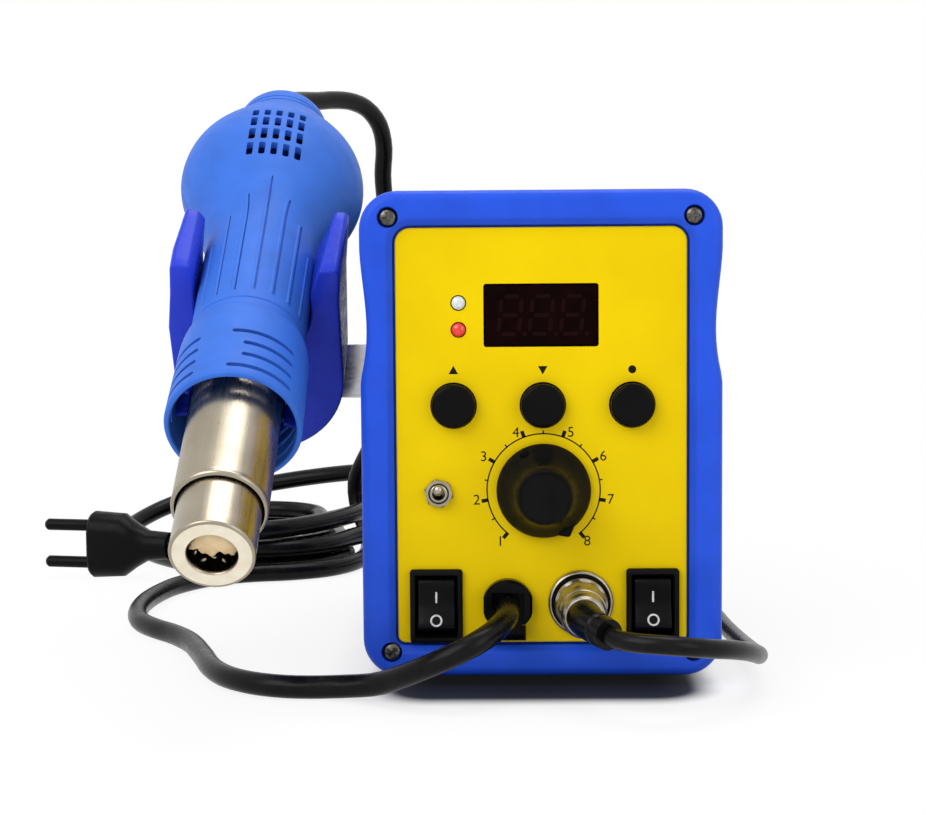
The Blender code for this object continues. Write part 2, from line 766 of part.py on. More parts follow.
def gland_outline(radius, flat, tab_half, drop, steps=28):
    """A round bushing with flat sides and a tab below."""
    points = []
    for k in range(steps):
        turn = math.radians(-60 + 300 * k / (steps - 1))
        x = max(-flat, min(flat, radius * math.cos(turn)))
        points.append((x, radius * math.sin(turn)))
    points.append((-tab_half, -radius * 0.86))
    points.append((-tab_half, -drop))
    points.append((tab_half, -drop))
    points.append((tab_half, -radius * 0.86))
    return points


def make_hot_air_gland():
    place = {"location": (GLAND_X, PANEL_FRONT, GLAND_Z), "rotation": FORWARD}
    wall = 0.0006
    tab_half = GLAND_SLOT_WIDTH / 2 + wall
    bm = bmesh.new()
    full = gland_outline(GLAND_RADIUS, GLAND_FLAT, tab_half, GLAND_TAB_DROP)
    small = gland_outline(GLAND_RADIUS - 0.0007, GLAND_FLAT - 0.0007, tab_half - 0.0004,
                          GLAND_TAB_DROP - 0.0007)
    loops = [[(x, y, GAP) for x, y in full], [(x, y, GLAND_PROUD - 0.0008) for x, y in full],
             [(x, y, GLAND_PROUD) for x, y in small]]
    add_loft(bm, loops)
    gland = mesh_object("hot_air_gland", bm, black_plastic(), **place)
    stem = bmesh.new()
    add_turned(stem, [(0, -0.006), (GLAND_RADIUS - 0.0012, -0.006), (GLAND_RADIUS - 0.0012, GAP + 0.0002),
                      (0, GAP + 0.0002)], 24)
    stem_tool = cutter("gland_stem", stem)
    stem_tool.location = gland.location
    stem_tool.rotation_euler = gland.rotation_euler
    cut(gland, stem_tool, "UNION")
    slot = bmesh.new()
    half = GLAND_SLOT_WIDTH / 2
    add_box(slot, (-half, -GLAND_TAB_DROP + wall, 0.0010), (half, 0.0036, GLAND_PROUD + 0.001))
    slot_tool = cutter("gland_slot", slot)
    slot_tool.location = gland.location
    slot_tool.rotation_euler = gland.rotation_euler
    cut(gland, slot_tool)


def make_iron_connector():
    place = {"location": (SOCKET_X, PANEL_FRONT, SOCKET_Z), "rotation": FORWARD}
    back = -PANEL_THICKNESS
    shell = SOCKET_SHELL_RADIUS
    flange = SOCKET_FLANGE_RADIUS
    thick = SOCKET_FLANGE_THICKNESS
    socket = [(0, -0.012), (shell + 0.0008, -0.012), (shell + 0.0008, back - GAP),
              (shell + 0.0012, back - GAP),
              (shell + 0.0012, GAP), (flange, GAP), (flange, thick * 0.7), (flange - 0.0007, thick),
              (shell + 0.0016, thick), (shell + 0.0004, thick * 0.6), (shell, thick + 0.0006),
              (shell, SOCKET_SHELL_LENGTH), (0, SOCKET_SHELL_LENGTH)]
    turned("iron_socket", socket, nickel(), 20, **place)
    start = thick + GAP + 0.0004
    end = start + RING_LENGTH
    bore = shell + RUNNING_GAP
    steps = RING_SCALLOPS * 4
    ring = bmesh.new()
    loops = []
    for radius, height, scalloped in ((bore, start, False), (bore, end - 0.0012, False),
                                      (PLUG_RADIUS + RUNNING_GAP, end - 0.0012, False),
                                      (PLUG_RADIUS + RUNNING_GAP, end, False), (RING_RADIUS - 0.0016,
                                                                                end, False),
                                      (RING_RADIUS - 0.0002, end - 0.0014, True),
                                      (RING_RADIUS, start + 0.0022, True), (RING_RADIUS, start + 0.0020,
                                                                            False),
                                      (RING_RADIUS, start, False)):
        loop = []
        for k in range(steps):
            turn = 2 * math.pi * k / steps
            dip = 0.0007 if scalloped and k % 4 == 0 else 0.0
            loop.append(((radius - dip) * math.cos(turn), (radius - dip) * math.sin(turn), height))
        loops.append(loop)
    add_loft(ring, loops, ring=True)
    mesh_object("coupling_ring", ring, nickel(), **place)
    plug_start = SOCKET_SHELL_LENGTH + GAP
    plug_end = plug_start + PLUG_LENGTH
    groove = end - 0.0012 - GAP
    plug = [(0, plug_start), (shell - 0.0001, plug_start), (shell - 0.0001, groove), (PLUG_RADIUS, groove),
            (PLUG_RADIUS, end + 0.0010), (PLUG_RADIUS + 0.0010, end + 0.0014), (PLUG_RADIUS + 0.0008,
                                                                                plug_end - 0.003),
            (PLUG_RADIUS - 0.0004, plug_end), (0, plug_end)]
    turned("plug_body", plug, nickel(), 18, **place)


def make_plug_boot():
    """A tapered sleeve that droops with the cord as it leaves the plug."""
    base = PANEL_FRONT - (SOCKET_SHELL_LENGTH + GAP + PLUG_LENGTH) - GAP
    bm = bmesh.new()
    loops = []
    rows = 9
    for k in range(rows):
        share = k / (rows - 1)
        radius = 0.0048 - 0.0014 * share
        ridge = 0.0003 if k % 2 == 0 and 0 < k < rows - 1 else 0.0
        centre = Vector((SOCKET_X + BOOT_SIDEWAYS * share ** 1.6, base - BOOT_LENGTH * share,
                         SOCKET_Z - BOOT_DROP * share ** 1.5))
        yaw = math.atan(BOOT_SIDEWAYS / BOOT_LENGTH * 1.6 * share ** 0.6)
        pitch = math.atan(BOOT_DROP / BOOT_LENGTH * 1.5 * share ** 0.5)
        side = Vector((math.cos(yaw), math.sin(yaw), 0))
        up = Vector((0, -math.sin(pitch), math.cos(pitch)))
        loop = []
        for j in range(16):
            turn = 2 * math.pi * j / 16
            reach = radius - ridge
            loop.append(centre + side * (reach * math.cos(turn)) + up * (reach * math.sin(turn)))
        loops.append(loop)
    add_loft(bm, loops)
    mesh_object("plug_boot", bm, black_rubber())


def make_case():
    half = CASE_WIDTH / 2
    inside = half - SHEET
    top = CASE_HEIGHT
    low = SHEET + GAP
    outline = []
    bend = 0.004
    for k in range(5):
        turn = math.radians(90 * k / 4)
        outline.append((half - bend + bend * math.cos(turn), top - bend + bend * math.sin(turn)))
    for k in range(5):
        turn = math.radians(90 + 90 * k / 4)
        outline.append((-half + bend + bend * math.cos(turn), top - bend + bend * math.sin(turn)))
    outline.append((-half, low))
    outline.append((-inside, low))
    for k in range(5):
        turn = math.radians(180 - 90 * k / 4)
        outline.append((-half + bend + (bend - SHEET) * math.cos(turn),
                        top - bend + (bend - SHEET) * math.sin(turn)))
    for k in range(5):
        turn = math.radians(90 - 90 * k / 4)
        outline.append((half - bend + (bend - SHEET) * math.cos(turn),
                        top - bend + (bend - SHEET) * math.sin(turn)))
    outline.append((inside, low))
    outline.append((half, low))
    bm = bmesh.new()
    add_prism(bm, outline, CASE_FRONT, CASE_REAR, "Y")
    cover = mesh_object("case_cover", bm, black_paint())
    slots = bmesh.new()
    span = VENT_PITCH * (VENT_COUNT - 1)
    for k in range(VENT_COUNT):
        y = -span / 2 + k * VENT_PITCH
        z = top * 0.66
        outline = rounded_rectangle(VENT_SLOT_WIDTH / 2, VENT_SLOT_LENGTH / 2, VENT_SLOT_WIDTH * 0.49,
                                    (y, z), 2)
        add_prism(slots, outline, half - SHEET * 2, half + SHEET, "X")
        if y < BRACKET_Y - VENT_SLOT_WIDTH:
            add_prism(slots, outline, -half - SHEET, -half + SHEET * 2, "X")
    cut(cover, cutter("cover_vents", slots))
    base = bmesh.new()
    wall = inside - GAP
    tray = [(-wall, 0), (wall, 0), (wall, BASE_FLANGE), (wall - SHEET, BASE_FLANGE), (wall - SHEET, SHEET),
            (-wall + SHEET, SHEET), (-wall + SHEET, BASE_FLANGE), (-wall, BASE_FLANGE)]
    add_prism(base, tray, CASE_FRONT, CASE_REAR, "Y")
    return mesh_object("case_base", base, black_paint())


def make_rear_panel():
    bm = bmesh.new()
    front = REAR_Y - PANEL_RECESS
    add_loft(bm, [panel_outline(front, 0.0), panel_outline(front - PANEL_THICKNESS, 0.0)])
    panel = mesh_object("rear_panel", bm, black_paint())
    tools = bmesh.new()
    low = front - PANEL_THICKNESS - 0.001
    high = front + 0.001
    for row in range(5):
        z = PANEL_LOW + 0.070 + row * 0.008
        outline = rounded_rectangle(0.024, 0.0013, 0.0012, (0, z), 2)
        add_prism(tools, outline, low, high, "Y")
    add_prism(tools, circle(MAINS_GLAND_RADIUS + GAP, 20, (MAINS_X, MAINS_Z)), low, high, "Y")
    cut(panel, cutter("rear_holes", tools))


MAINS_X = -0.020
MAINS_Z = 0.028
MAINS_GLAND_RADIUS = 0.0062
MAINS_RELIEF = 0.028


def make_rear_fittings():
    face = REAR_Y - PANEL_RECESS
    place = {"location": (MAINS_X, face, MAINS_Z), "rotation": BACKWARD}
    r = MAINS_GLAND_RADIUS
    hole = MAINS_CORD / 2 + GAP
    back = -PANEL_THICKNESS - GAP
    profile = [(0, -0.007), (r, -0.007), (r, GAP), (r + 0.0022, GAP), (r + 0.0022, 0.0030),
               (r - 0.0002, 0.0038), (hole + 0.0020, 0.0060), (hole + 0.0012, MAINS_RELIEF),
               (hole, MAINS_RELIEF), (hole, MAINS_RELIEF - 0.008), (0, MAINS_RELIEF - 0.008)]
    turned("mains_relief", profile, black_rubber(), 16, **place)


def make_feet():
    x = CASE_WIDTH / 2 - FOOT_INSET_X
    y = STATION_DEPTH / 2 - FOOT_INSET_Y
    profile = [(0, FLOOR_Z), (FOOT_RADIUS * 0.9, FLOOR_Z), (FOOT_RADIUS, FLOOR_Z + 0.0008),
               (FOOT_RADIUS, -0.0010),
               (FOOT_RADIUS * 0.85, -GAP), (0, -GAP)]
    places = {"front_left": (-x, -y), "front_right": (x, -y), "rear_left": (-x, y), "rear_right": (x, y)}
    for name, (across, along) in places.items():
        turned("foot_" + name, profile, black_rubber(), 12, location=(across, along, 0))


def make_inside(base):
    """Transformer and main board on the base plate; the board stands on pressed posts."""
    floor = SHEET + GAP
    middle = floor + CORE_HEIGHT / 2
    core = bmesh.new()
    add_prism(core, rectangle(CORE_WIDTH / 2, CORE_HEIGHT / 2, (0, middle)), CORE_Y - CORE_DEPTH / 2,
              CORE_Y + CORE_DEPTH / 2, "Y")
    transformer = mesh_object("transformer", core, material("core_steel", (0.12, 0.11, 0.1), 0.6, 0.6))
    winding = bmesh.new()
    outline = rounded_rectangle(CORE_WIDTH / 3, CORE_HEIGHT * 0.32, 0.003, (0, middle), 3)
    add_prism(winding, outline, CORE_Y - COIL_DEPTH / 2, CORE_Y + COIL_DEPTH / 2, "Y")
    cut(transformer, cutter("transformer_winding", winding), "UNION")
    board_y = CASE_FRONT + 0.012 + MAIN_BOARD_DEPTH / 2
    board = bmesh.new()
    add_box(board, (-MAIN_BOARD_WIDTH / 2, board_y - MAIN_BOARD_DEPTH / 2, MAIN_BOARD_Z),
            (MAIN_BOARD_WIDTH / 2, board_y + MAIN_BOARD_DEPTH / 2, MAIN_BOARD_Z + BOARD_THICKNESS))
    mesh_object("main_board", board, circuit_board())
    posts = bmesh.new()
    for sx in (-1, 1):
        for sy in (-1, 1):
            spot = (sx * (MAIN_BOARD_WIDTH / 2 - 0.005), board_y + sy * (MAIN_BOARD_DEPTH / 2 - 0.005))
            add_prism(posts, circle(STANDOFF_RADIUS, 6, spot), SHEET / 2, MAIN_BOARD_Z - GAP)
    cut(base, cutter("board_posts", posts), "UNION")


def sloping_frame(name, roll_deg):
    """Local Z runs up the slope from the nozzle's tip; the roll is about that line."""
    frame = empty(name, (TIP_X, TIP_Y, TIP_Z))
    frame.rotation_mode = "ZYX"
    frame.rotation_euler = (math.radians(HANDLE_SLOPE_DEG - 90), 0, math.radians(roll_deg))
    return frame


def make_nozzle(frame):
    r = NOZZLE_RADIUS
    inner = r - NOZZLE_WALL
    hole = NOZZLE_HOLE_RADIUS
    nozzle = [(hole, 0.0002), (hole + 0.0006, 0), (r - 0.0008, 0), (r, 0.0008), (r, NOZZLE_LENGTH),
              (inner, NOZZLE_LENGTH), (inner, 0.0012), (hole, 0.0012)]
    turned("nozzle_tube", nozzle, nickel(), 28, hollow=True, parent=frame)
    wide = BARREL_RADIUS
    bore = wide - BARREL_WALL
    collar = NECK_RADIUS - SHELL_WALL - GAP
    barrel = [(r + GAP, BARREL_START + 0.0012), (wide - 0.0010, BARREL_START),
              (wide - 0.0002, BARREL_START + 0.0003),
              (wide, BARREL_START + 0.0010), (wide, BARREL_COLLAR), (collar, BARREL_COLLAR),
              (collar, BARREL_COLLAR + 0.0025), (wide, BARREL_COLLAR + 0.0025), (wide,
                                                                                 BARREL_END),
                                                                                 (bore, BARREL_END),
                                                                                 (bore,
                                                                                  BARREL_START + 0.0024),
              (r + GAP, BARREL_START + 0.0024)]
    turned("barrel_tube", barrel, nickel(), 28, hollow=True, parent=frame)


def make_heater(frame):
    half = NOZZLE_RADIUS - NOZZLE_WALL - 0.0016
    low = 0.016
    high = BARREL_END - 0.004
    cross = [(-half, -0.0006), (-0.0006, -0.0006), (-0.0006, -half), (0.0006, -half), (0.0006, -0.0006),
             (half, -0.0006),
             (half, 0.0006), (0.0006, 0.0006), (0.0006, half), (-0.0006, half), (-0.0006,
                                                                                 0.0006), (-half, 0.0006)]
    bm = bmesh.new()
    add_prism(bm, cross, low, high)
    former = mesh_object("heater_former", bm, material("mica", (0.55, 0.42, 0.25), 0.6), parent=frame)
    plate = bmesh.new()
    add_prism(plate, circle(BARREL_RADIUS - BARREL_WALL - GAP, 20), high - 0.0015, high + 0.0005)
    plate_tool = cutter("heater_plate", plate)
    plate_tool.parent = frame
    cut(former, plate_tool, "UNION")


def make_shroud(frame):
    r = SHROUD_RADIUS
    wall = SHROUD_WALL
    start = SHROUD_START
    end = SHROUD_END
    profile = [(r - wall + 0.0004, start), (r - 0.0010, start), (r, start + 0.0010),
               (r - 0.0001, start + 0.016),
               (r - 0.0004, end - 0.010), (r - 0.0012, end - 0.004), (NECK_RADIUS + 0.0006, end - 0.0004),
               (NECK_RADIUS + 0.0002, end), (NECK_RADIUS - SHELL_WALL, end), (NECK_RADIUS - SHELL_WALL,
                                                                              end - 0.003),
               (r - wall - 0.0010, end - 0.010), (r - wall, end - 0.014)]
    shroud = turned("nozzle_shroud", profile, blue_plastic(), 32, hollow=True, parent=frame)
    tools = bmesh.new()
    for group in range(SLOT_GROUPS):
        first = -SLOT_START_DEG - 360 / SLOT_GROUPS * group
        for row in range(SLOT_ROWS):
            z = SLOT_FIRST + row * SLOT_PITCH
            sweep = SLOT_LONG_DEG if row in (0, SLOT_ROWS - 1) else SLOT_SHORT_DEG
            outer = []
            inner = []
            for k in range(7):
                turn = math.radians(first - sweep * k / 6)
                outer.append(((r + 0.002) * math.cos(turn), (r + 0.002) * math.sin(turn)))
                inner.append(((r - wall - 0.002) * math.cos(turn), (r - wall - 0.002) * math.sin(turn)))
            add_prism(tools, outer + inner[::-1], z, z + SLOT_WIDTH)
    tool = cutter("shroud_slots", tools)
    tool.parent = frame
    cut(shroud, tool)


def head_size(z):
    """Half width and half height of the handpiece shell at a distance from the tip."""
    neck = NECK_RADIUS + NECK_FLARE * (z - SHROUD_END) / (HEAD_START - SHROUD_END)
    if z <= HEAD_START:
        return neck, neck
    if z < HEAD_CENTRE:
        share = (z - HEAD_START) / (HEAD_CENTRE - HEAD_START)
        rise = share * share * (3 - 2 * share)
        return neck + (HEAD_HALF_WIDTH - neck) * rise, neck + (HEAD_HALF_HEIGHT - neck) * rise
    share = min(1.0, (z - HEAD_CENTRE) / (TAIL_START - GAP - HEAD_CENTRE))
    fall = max(0.0, math.cos(math.pi / 2 * share))
    return (TAIL_RADIUS + (HEAD_HALF_WIDTH - TAIL_RADIUS) * fall ** SHOULDER_WIDE,
            TAIL_RADIUS + (HEAD_HALF_HEIGHT - TAIL_RADIUS) * fall ** SHOULDER_HIGH)


def shell_stations():
    """Distances of the shell's cross-sections, closer together where it curves."""
    start = SHROUD_END + GAP
    stations = [start, HEAD_START]
    for k in range(1, 6):
        stations.append(HEAD_START + (HEAD_CENTRE - HEAD_START) * k / 6)
    rows = 8
    for k in range(rows + 1):
        share = math.sin(math.pi / 2 * k / rows)
        stations.append(HEAD_CENTRE + (TAIL_START - GAP - HEAD_CENTRE) * share)
    return stations


def shell_half_loops(top):
    """Half-shell cross-sections, outer arc then inner arc, from the neck to the tail."""
    loops = []
    arc = 12
    side = -1 if top else 1
    for z in shell_stations():
        a, b = head_size(z)
        ahead_a, ahead_b = head_size(z + SHELL_WALL)
        if z < HEAD_CENTRE:
            ahead_a, ahead_b = a, b
        inner_a = min(a - SHELL_WALL, ahead_a)
        inner_b = min(b - SHELL_WALL, ahead_b)
        loop = []
        for k in range(arc + 1):
            turn = math.pi * k / arc
            loop.append((a * math.cos(turn), side * (b * math.sin(turn) + GAP / 2), z))
        for k in range(arc, -1, -1):
            turn = math.pi * k / arc
            loop.append((inner_a * math.cos(turn), side * (inner_b * math.sin(turn) + GAP / 2), z))
        loops.append(loop)
    return loops


def make_handle_shells(frame):
    for name, top in (("handle_shell_top", True), ("handle_shell_bottom", False)):
        bm = bmesh.new()
        loops = shell_half_loops(top)
        rows = [[bm.verts.new(point) for point in loop] for loop in loops]
        count = len(rows[0])
        for near, far in zip(rows, rows[1:]):
            for i in range(count):
                j = (i + 1) % count
                bm.faces.new((near[i], near[j], far[j], far[i]))
        for row in (rows[0], rows[-1]):
            for i in range(count // 2 - 1):
                bm.faces.new((row[i], row[i + 1], row[count - 2 - i], row[count - 1 - i]))
        shell = mesh_object(name, bm, blue_plastic(), parent=frame)
        tools = bmesh.new()
        side = -1 if top else 1
        near_y = side * 0.008
        far_y = side * 0.040
        low_y, high_y = min(near_y, far_y), max(near_y, far_y)
        for row in range(HANDLE_VENT_ROWS):
            z = HANDLE_VENT_START + row * HANDLE_VENT_PITCH_Z
            for column in range(HANDLE_VENT_COLUMNS):
                x = (column - (HANDLE_VENT_COLUMNS - 1) / 2) * HANDLE_VENT_PITCH_X
                half = HANDLE_VENT_WIDTH / 2
                add_box(tools, (x - half, low_y, z), (x + half, high_y, z + HANDLE_VENT_LENGTH))
        tool = cutter(name + "_vents", tools)
        tool.parent = frame
        cut(shell, tool)


def make_tail(frame):
    r = TAIL_RADIUS
    hole = HANDLE_CORD / 2 + 0.0020
    cap = [(hole, TAIL_START + GAP), (r, TAIL_START + GAP), (r, TAIL_START + 0.004),
           (r - 0.0008, TAIL_END - 0.003),
           (r - 0.0034, TAIL_END), (hole, TAIL_END)]
    turned("tail_cap", cap, blue_plastic(), 24, hollow=True, parent=frame)
    bore = HANDLE_CORD / 2 + GAP * 3
    relief = [(0, TAIL_START - 0.004), (bore + 0.0030, TAIL_START - 0.004),
              (bore + 0.0030, TAIL_START - 0.0006),
              (hole - GAP, TAIL_START - 0.0006), (hole - GAP, TAIL_END + 0.001), (bore + 0.0007,
                                                                                  TAIL_END + 0.010),
              (bore, TAIL_END + 0.010), (bore, TAIL_END + 0.004), (0, TAIL_END + 0.004)]
    turned("handle_cord_relief", relief, black_rubber(), 16, parent=frame)


def make_blower(frame):
    """A flat round blower: its axle stands along local Y in the middle of the head."""
    r = BLOWER_RADIUS
    half = BLOWER_HALF_DEPTH
    wall = 0.0012
    place = {"location": (0, 0, HEAD_CENTRE), "rotation": FORWARD, "parent": frame}
    cup = [(0, -half), (r, -half), (r, half), (0.0095, half), (0.0095, half - wall), (r - wall, half - wall),
           (r - wall, -half + wall), (0.0030, -half + wall), (0.0030, -half + 0.0035), (0, -half + 0.0035)]
    housing = turned("blower_housing", cup, black_plastic(), 20, **place)
    outlet = bmesh.new()
    duct_end = HEAD_CENTRE - 0.038
    add_box(outlet, (-0.0060, -0.0050, duct_end), (0.0060, 0.0050, HEAD_CENTRE - r + wall * 2.5))
    duct_tool = cutter("blower_duct", outlet)
    duct_tool.parent = frame
    cut(housing, duct_tool, "UNION")
    tabs = bmesh.new()
    reach = HEAD_HALF_WIDTH - SHELL_WALL - GAP * 3
    add_box(tabs, (-reach, -0.0015, HEAD_CENTRE - 0.003), (reach, 0.0015, HEAD_CENTRE + 0.003))
    inside = bmesh.new()
    add_box(inside, (-r + 0.0006, -0.003, HEAD_CENTRE - 0.004), (r - 0.0006, 0.003, HEAD_CENTRE + 0.004))
    tab_tool = cutter("blower_tabs", tabs)
    tab_tool.parent = frame
    tab_middle = cutter("blower_tab_middle", inside)
    tab_middle.parent = frame
    cut(tab_tool, tab_middle)
    cut(housing, tab_tool, "UNION")
    passage = bmesh.new()
    add_box(passage, (-0.0050, -0.0040, duct_end - 0.001), (0.0050, 0.0040, HEAD_CENTRE - r + 0.010))
    passage_tool = cutter("blower_passage", passage)
    passage_tool.parent = frame
    cut(housing, passage_tool)
    hub = 0.0052
    low = -half + wall + 0.0008
    star = []
    for k in range(IMPELLER_BLADES):
        start = 2 * math.pi * k / IMPELLER_BLADES
        for radius, lead in ((hub, -0.07), (IMPELLER_RADIUS, 0.12), (IMPELLER_RADIUS, 0.17), (hub, 0.10)):
            star.append((radius * math.cos(start + lead), radius * math.sin(start + lead)))
    bm = bmesh.new()
    add_prism(bm, star, low + 0.0006, half - wall - 0.0012)
    impeller = mesh_object("impeller", bm, black_plastic(), **place)
    disc = bmesh.new()
    bore = 0.0030 + RUNNING_GAP
    add_turned(disc, [(bore, low), (IMPELLER_RADIUS, low), (IMPELLER_RADIUS, low + 0.0010),
                      (hub, low + 0.0012),
                      (hub, half - wall - 0.0010), (0, half - wall - 0.0010), (0, -half + 0.0039),
                      (bore, -half + 0.0039), (bore, low)], 24)
    disc_tool = cutter("impeller_disc", disc)
    disc_tool.parent = frame
    disc_tool.location = impeller.location
    disc_tool.rotation_euler = impeller.rotation_euler
    cut(impeller, disc_tool, "UNION")
    pocket = bmesh.new()
    add_turned(pocket, [(0, low - 0.002), (bore, low - 0.002), (bore, -half + 0.0039),
                        (0, -half + 0.0039)], 24)
    pocket_tool = cutter("impeller_bore", pocket)
    pocket_tool.parent = frame
    pocket_tool.location = impeller.location
    pocket_tool.rotation_euler = impeller.rotation_euler
    cut(impeller, pocket_tool)


def cradle_outline(top):
    """The cradle seen along the handpiece: (across, up), from the right arm clockwise, for one arm height."""
    half = CRADLE_HALF_WIDTH
    seat = CRADLE_CHANNEL
    right_arm = [(seat + 0.0014, top * 0.25), (half - 0.0022, top - 0.0030), (half - 0.0002, top - 0.0004),
                 (half + 0.0018, top - 0.0016), (half + 0.0024, top * 0.80), (half + 0.0012, 0.0)]
    left_arm = [(-half, -0.0060), (-half + 0.0010, top * 0.32), (-half + 0.0024, top * 0.72),
                (-half + 0.0040, top - 0.0020), (-half + 0.0056, top), (-seat - 0.0010, top - 0.0030),
                (-seat - 0.0003, top * 0.4)]
    outline = list(right_arm)
    depth = half * 1.05
    middle = depth - CRADLE_BOTTOM
    for k in range(13):
        turn = math.radians(-180 * k / 12)
        outline.append((half * math.cos(turn), middle + depth * math.sin(turn)))
    outline += left_arm
    for k in range(13):
        turn = math.radians(180 + 180 * k / 12)
        outline.append((seat * math.cos(turn), seat * math.sin(turn)))
    return outline[::-1]


def inset(outline, amount):
    """The same closed outline moved inwards."""
    result = []
    count = len(outline)
    for i in range(count):
        before = Vector(outline[i - 1])
        here = Vector(outline[i])
        after = Vector(outline[(i + 1) % count])
        along = (after - before).normalized()
        result.append(here + Vector((-along.y, along.x)) * amount)
    return result


def make_cradle(frame):
    """A fork with a round channel; its back is let into a pad for the bracket."""
    bm = bmesh.new()
    chamfer = 0.0006
    start = CRADLE_START
    end = CRADLE_START + CRADLE_DEPTH
    front = cradle_outline(CRADLE_ARM_FRONT)
    back = cradle_outline(CRADLE_ARM_BACK)
    loops = []
    for points, z in ((inset(front, chamfer), start), (front, start + chamfer),
                      (back, end - chamfer), (inset(back, chamfer), end)):
        loops.append([(x, -up, z) for x, up in points])
    add_loft(bm, loops)
    return mesh_object("cradle", bm, cradle_plastic(), parent=frame)


def make_bracket():
    """A stainless strip bent to a right angle: one leg on the case side, one behind the cradle."""
    side = -CASE_WIDTH / 2 - GAP
    t = BRACKET_THICKNESS
    y = BRACKET_Y
    low = BRACKET_TOP - BRACKET_HEIGHT
    plan = [(side, y), (side, y + BRACKET_FLANGE), (side - t, y + BRACKET_FLANGE), (side - t, y + t + 0.001),
            (side - t - 0.001, y + t), (side - BRACKET_REACH, y + t), (side - BRACKET_REACH, y)]
    bm = bmesh.new()
    add_prism(bm, plan, low, BRACKET_TOP)
    mesh_object("holder_bracket", bm, stainless())


def make_cradle_mount(cradle):
    """The pad on the cradle's back that meets the bracket."""
    pad = bmesh.new()
    z_middle = BRACKET_TOP - BRACKET_HEIGHT / 2
    low = z_middle - BRACKET_HEIGHT / 2 + 0.0005
    high = z_middle + BRACKET_HEIGHT / 2 - 0.0005
    back = BRACKET_Y - GAP
    add_box(pad, (TIP_X - 0.0115, back - 0.022, low), (TIP_X + 0.0115, back, high))
    pad_tool = cutter("cradle_pad", pad)
    cut(cradle, pad_tool, "UNION")


def smooth_route(points, spacing):
    """Reads evenly spaced points from a smooth curve through the route's own points."""
    route = [Vector(p) for p in points]
    padded = [route[0] * 2 - route[1]] + route + [route[-1] * 2 - route[-2]]
    fine = []
    for a, b, c, d in zip(padded, padded[1:], padded[2:], padded[3:]):
        for k in range(12):
            t = k / 12
            fine.append(0.5 * ((2 * b) + (c - a) * t + (2 * a - 5 * b + 4 * c - d) * t * t
                               + (3 * b - a - 3 * c + d) * t ** 3))
    fine.append(route[-1])
    length = sum((q - p).length for p, q in zip(fine, fine[1:]))
    count = max(2, round(length / spacing))
    step = length / count
    result = [fine[0]]
    walked = 0.0
    for p, q in zip(fine, fine[1:]):
        gap = (q - p).length
        while gap > 0 and walked + gap >= step * len(result) and len(result) < count:
            share = (step * len(result) - walked) / gap
            result.append(p.lerp(q, share))
        walked += gap
    result.append(fine[-1])
    return result


def make_cord(name, route, diameter, surface, spacing=2.0):
    curve = bpy.data.curves.new(name, "CURVE")
    curve.dimensions = "3D"
    curve.bevel_depth = diameter / 2
    curve.bevel_resolution = 2
    curve.use_fill_caps = True
    points = smooth_route(route, diameter * spacing)
    spline = curve.splines.new("POLY")
    spline.points.add(len(points) - 1)
    for k, point in enumerate(points):
        spline.points[k].co = (*point, 1.0)
    curve.materials.append(surface)
    obj = bpy.data.objects.new(name, curve)
    bpy.context.scene.collection.objects.link(obj)
    return obj


HANDLE_ROUTE = [
    (-0.0094, -0.0739, 0.0178), (-0.0094, -0.0800, 0.0177), (-0.0105, -0.0890, 0.0168),
    (-0.0135, -0.0970, 0.0151), (-0.0185, -0.1022, 0.0128), (-0.0250, -0.1035, 0.0098),
    (-0.0322, -0.1010, 0.0062), (-0.0390, -0.0960, 0.0026), (-0.0455, -0.0915, -0.0002),
    (-0.0540, -0.0880, -0.0014), (-0.0640, -0.0865, -0.0017), (-0.0740, -0.0855, -0.0017),
    (-0.0830, -0.0815, -0.0017), (-0.0910, -0.0735, -0.0017), (-0.0970, -0.0620, -0.0017),
    (-0.1040, -0.0450, -0.0017), (-0.1115, -0.0250, -0.0017), (-0.1190, -0.0060, -0.0017),
    (-0.1258, 0.0120, -0.0017), (-0.1310, 0.0290, -0.0017), (-0.1330, 0.0450, -0.0017),
    (-0.1310, 0.0620, -0.0017), (-0.1260, 0.0780, -0.0017), (-0.1170, 0.0930, -0.0017),
    (-0.1040, 0.1020, -0.0017), (-0.0890, 0.1060, -0.0017), (-0.0755, 0.1140, -0.0017),
    (-0.0665, 0.1290, -0.0017), (-0.0636, 0.1480, -0.0016), (-0.0640, 0.1690, -0.0006),
    (-0.0665, 0.1860, 0.0032), (-0.0700, 0.1925, 0.0110), (-0.0733, 0.1930, 0.0230),
    (-0.0690, 0.1850, 0.0390), (-0.0640, 0.1730, 0.0580), (-0.0600, 0.1590, 0.0790),
    (-0.0580, 0.1470, 0.1000), (-0.0560, 0.1390, 0.1180), (-0.0550, 0.1335, 0.1330),
    (-0.0545, 0.1285, 0.1445), (-0.0537, 0.1240, 0.1545), (-0.0550, 0.1180, 0.1625),
    (-0.0590, 0.1110, 0.1675), (-0.0643, 0.1035, 0.1700), (-0.0700, 0.0955, 0.1707),
    (-0.0752, 0.0875, 0.1706), (-0.0797, 0.0800, 0.1701), (-0.0824, 0.0735, 0.1691),
    (-0.0834, 0.0675, 0.1669), (-0.0836, 0.0621, 0.1643),
]
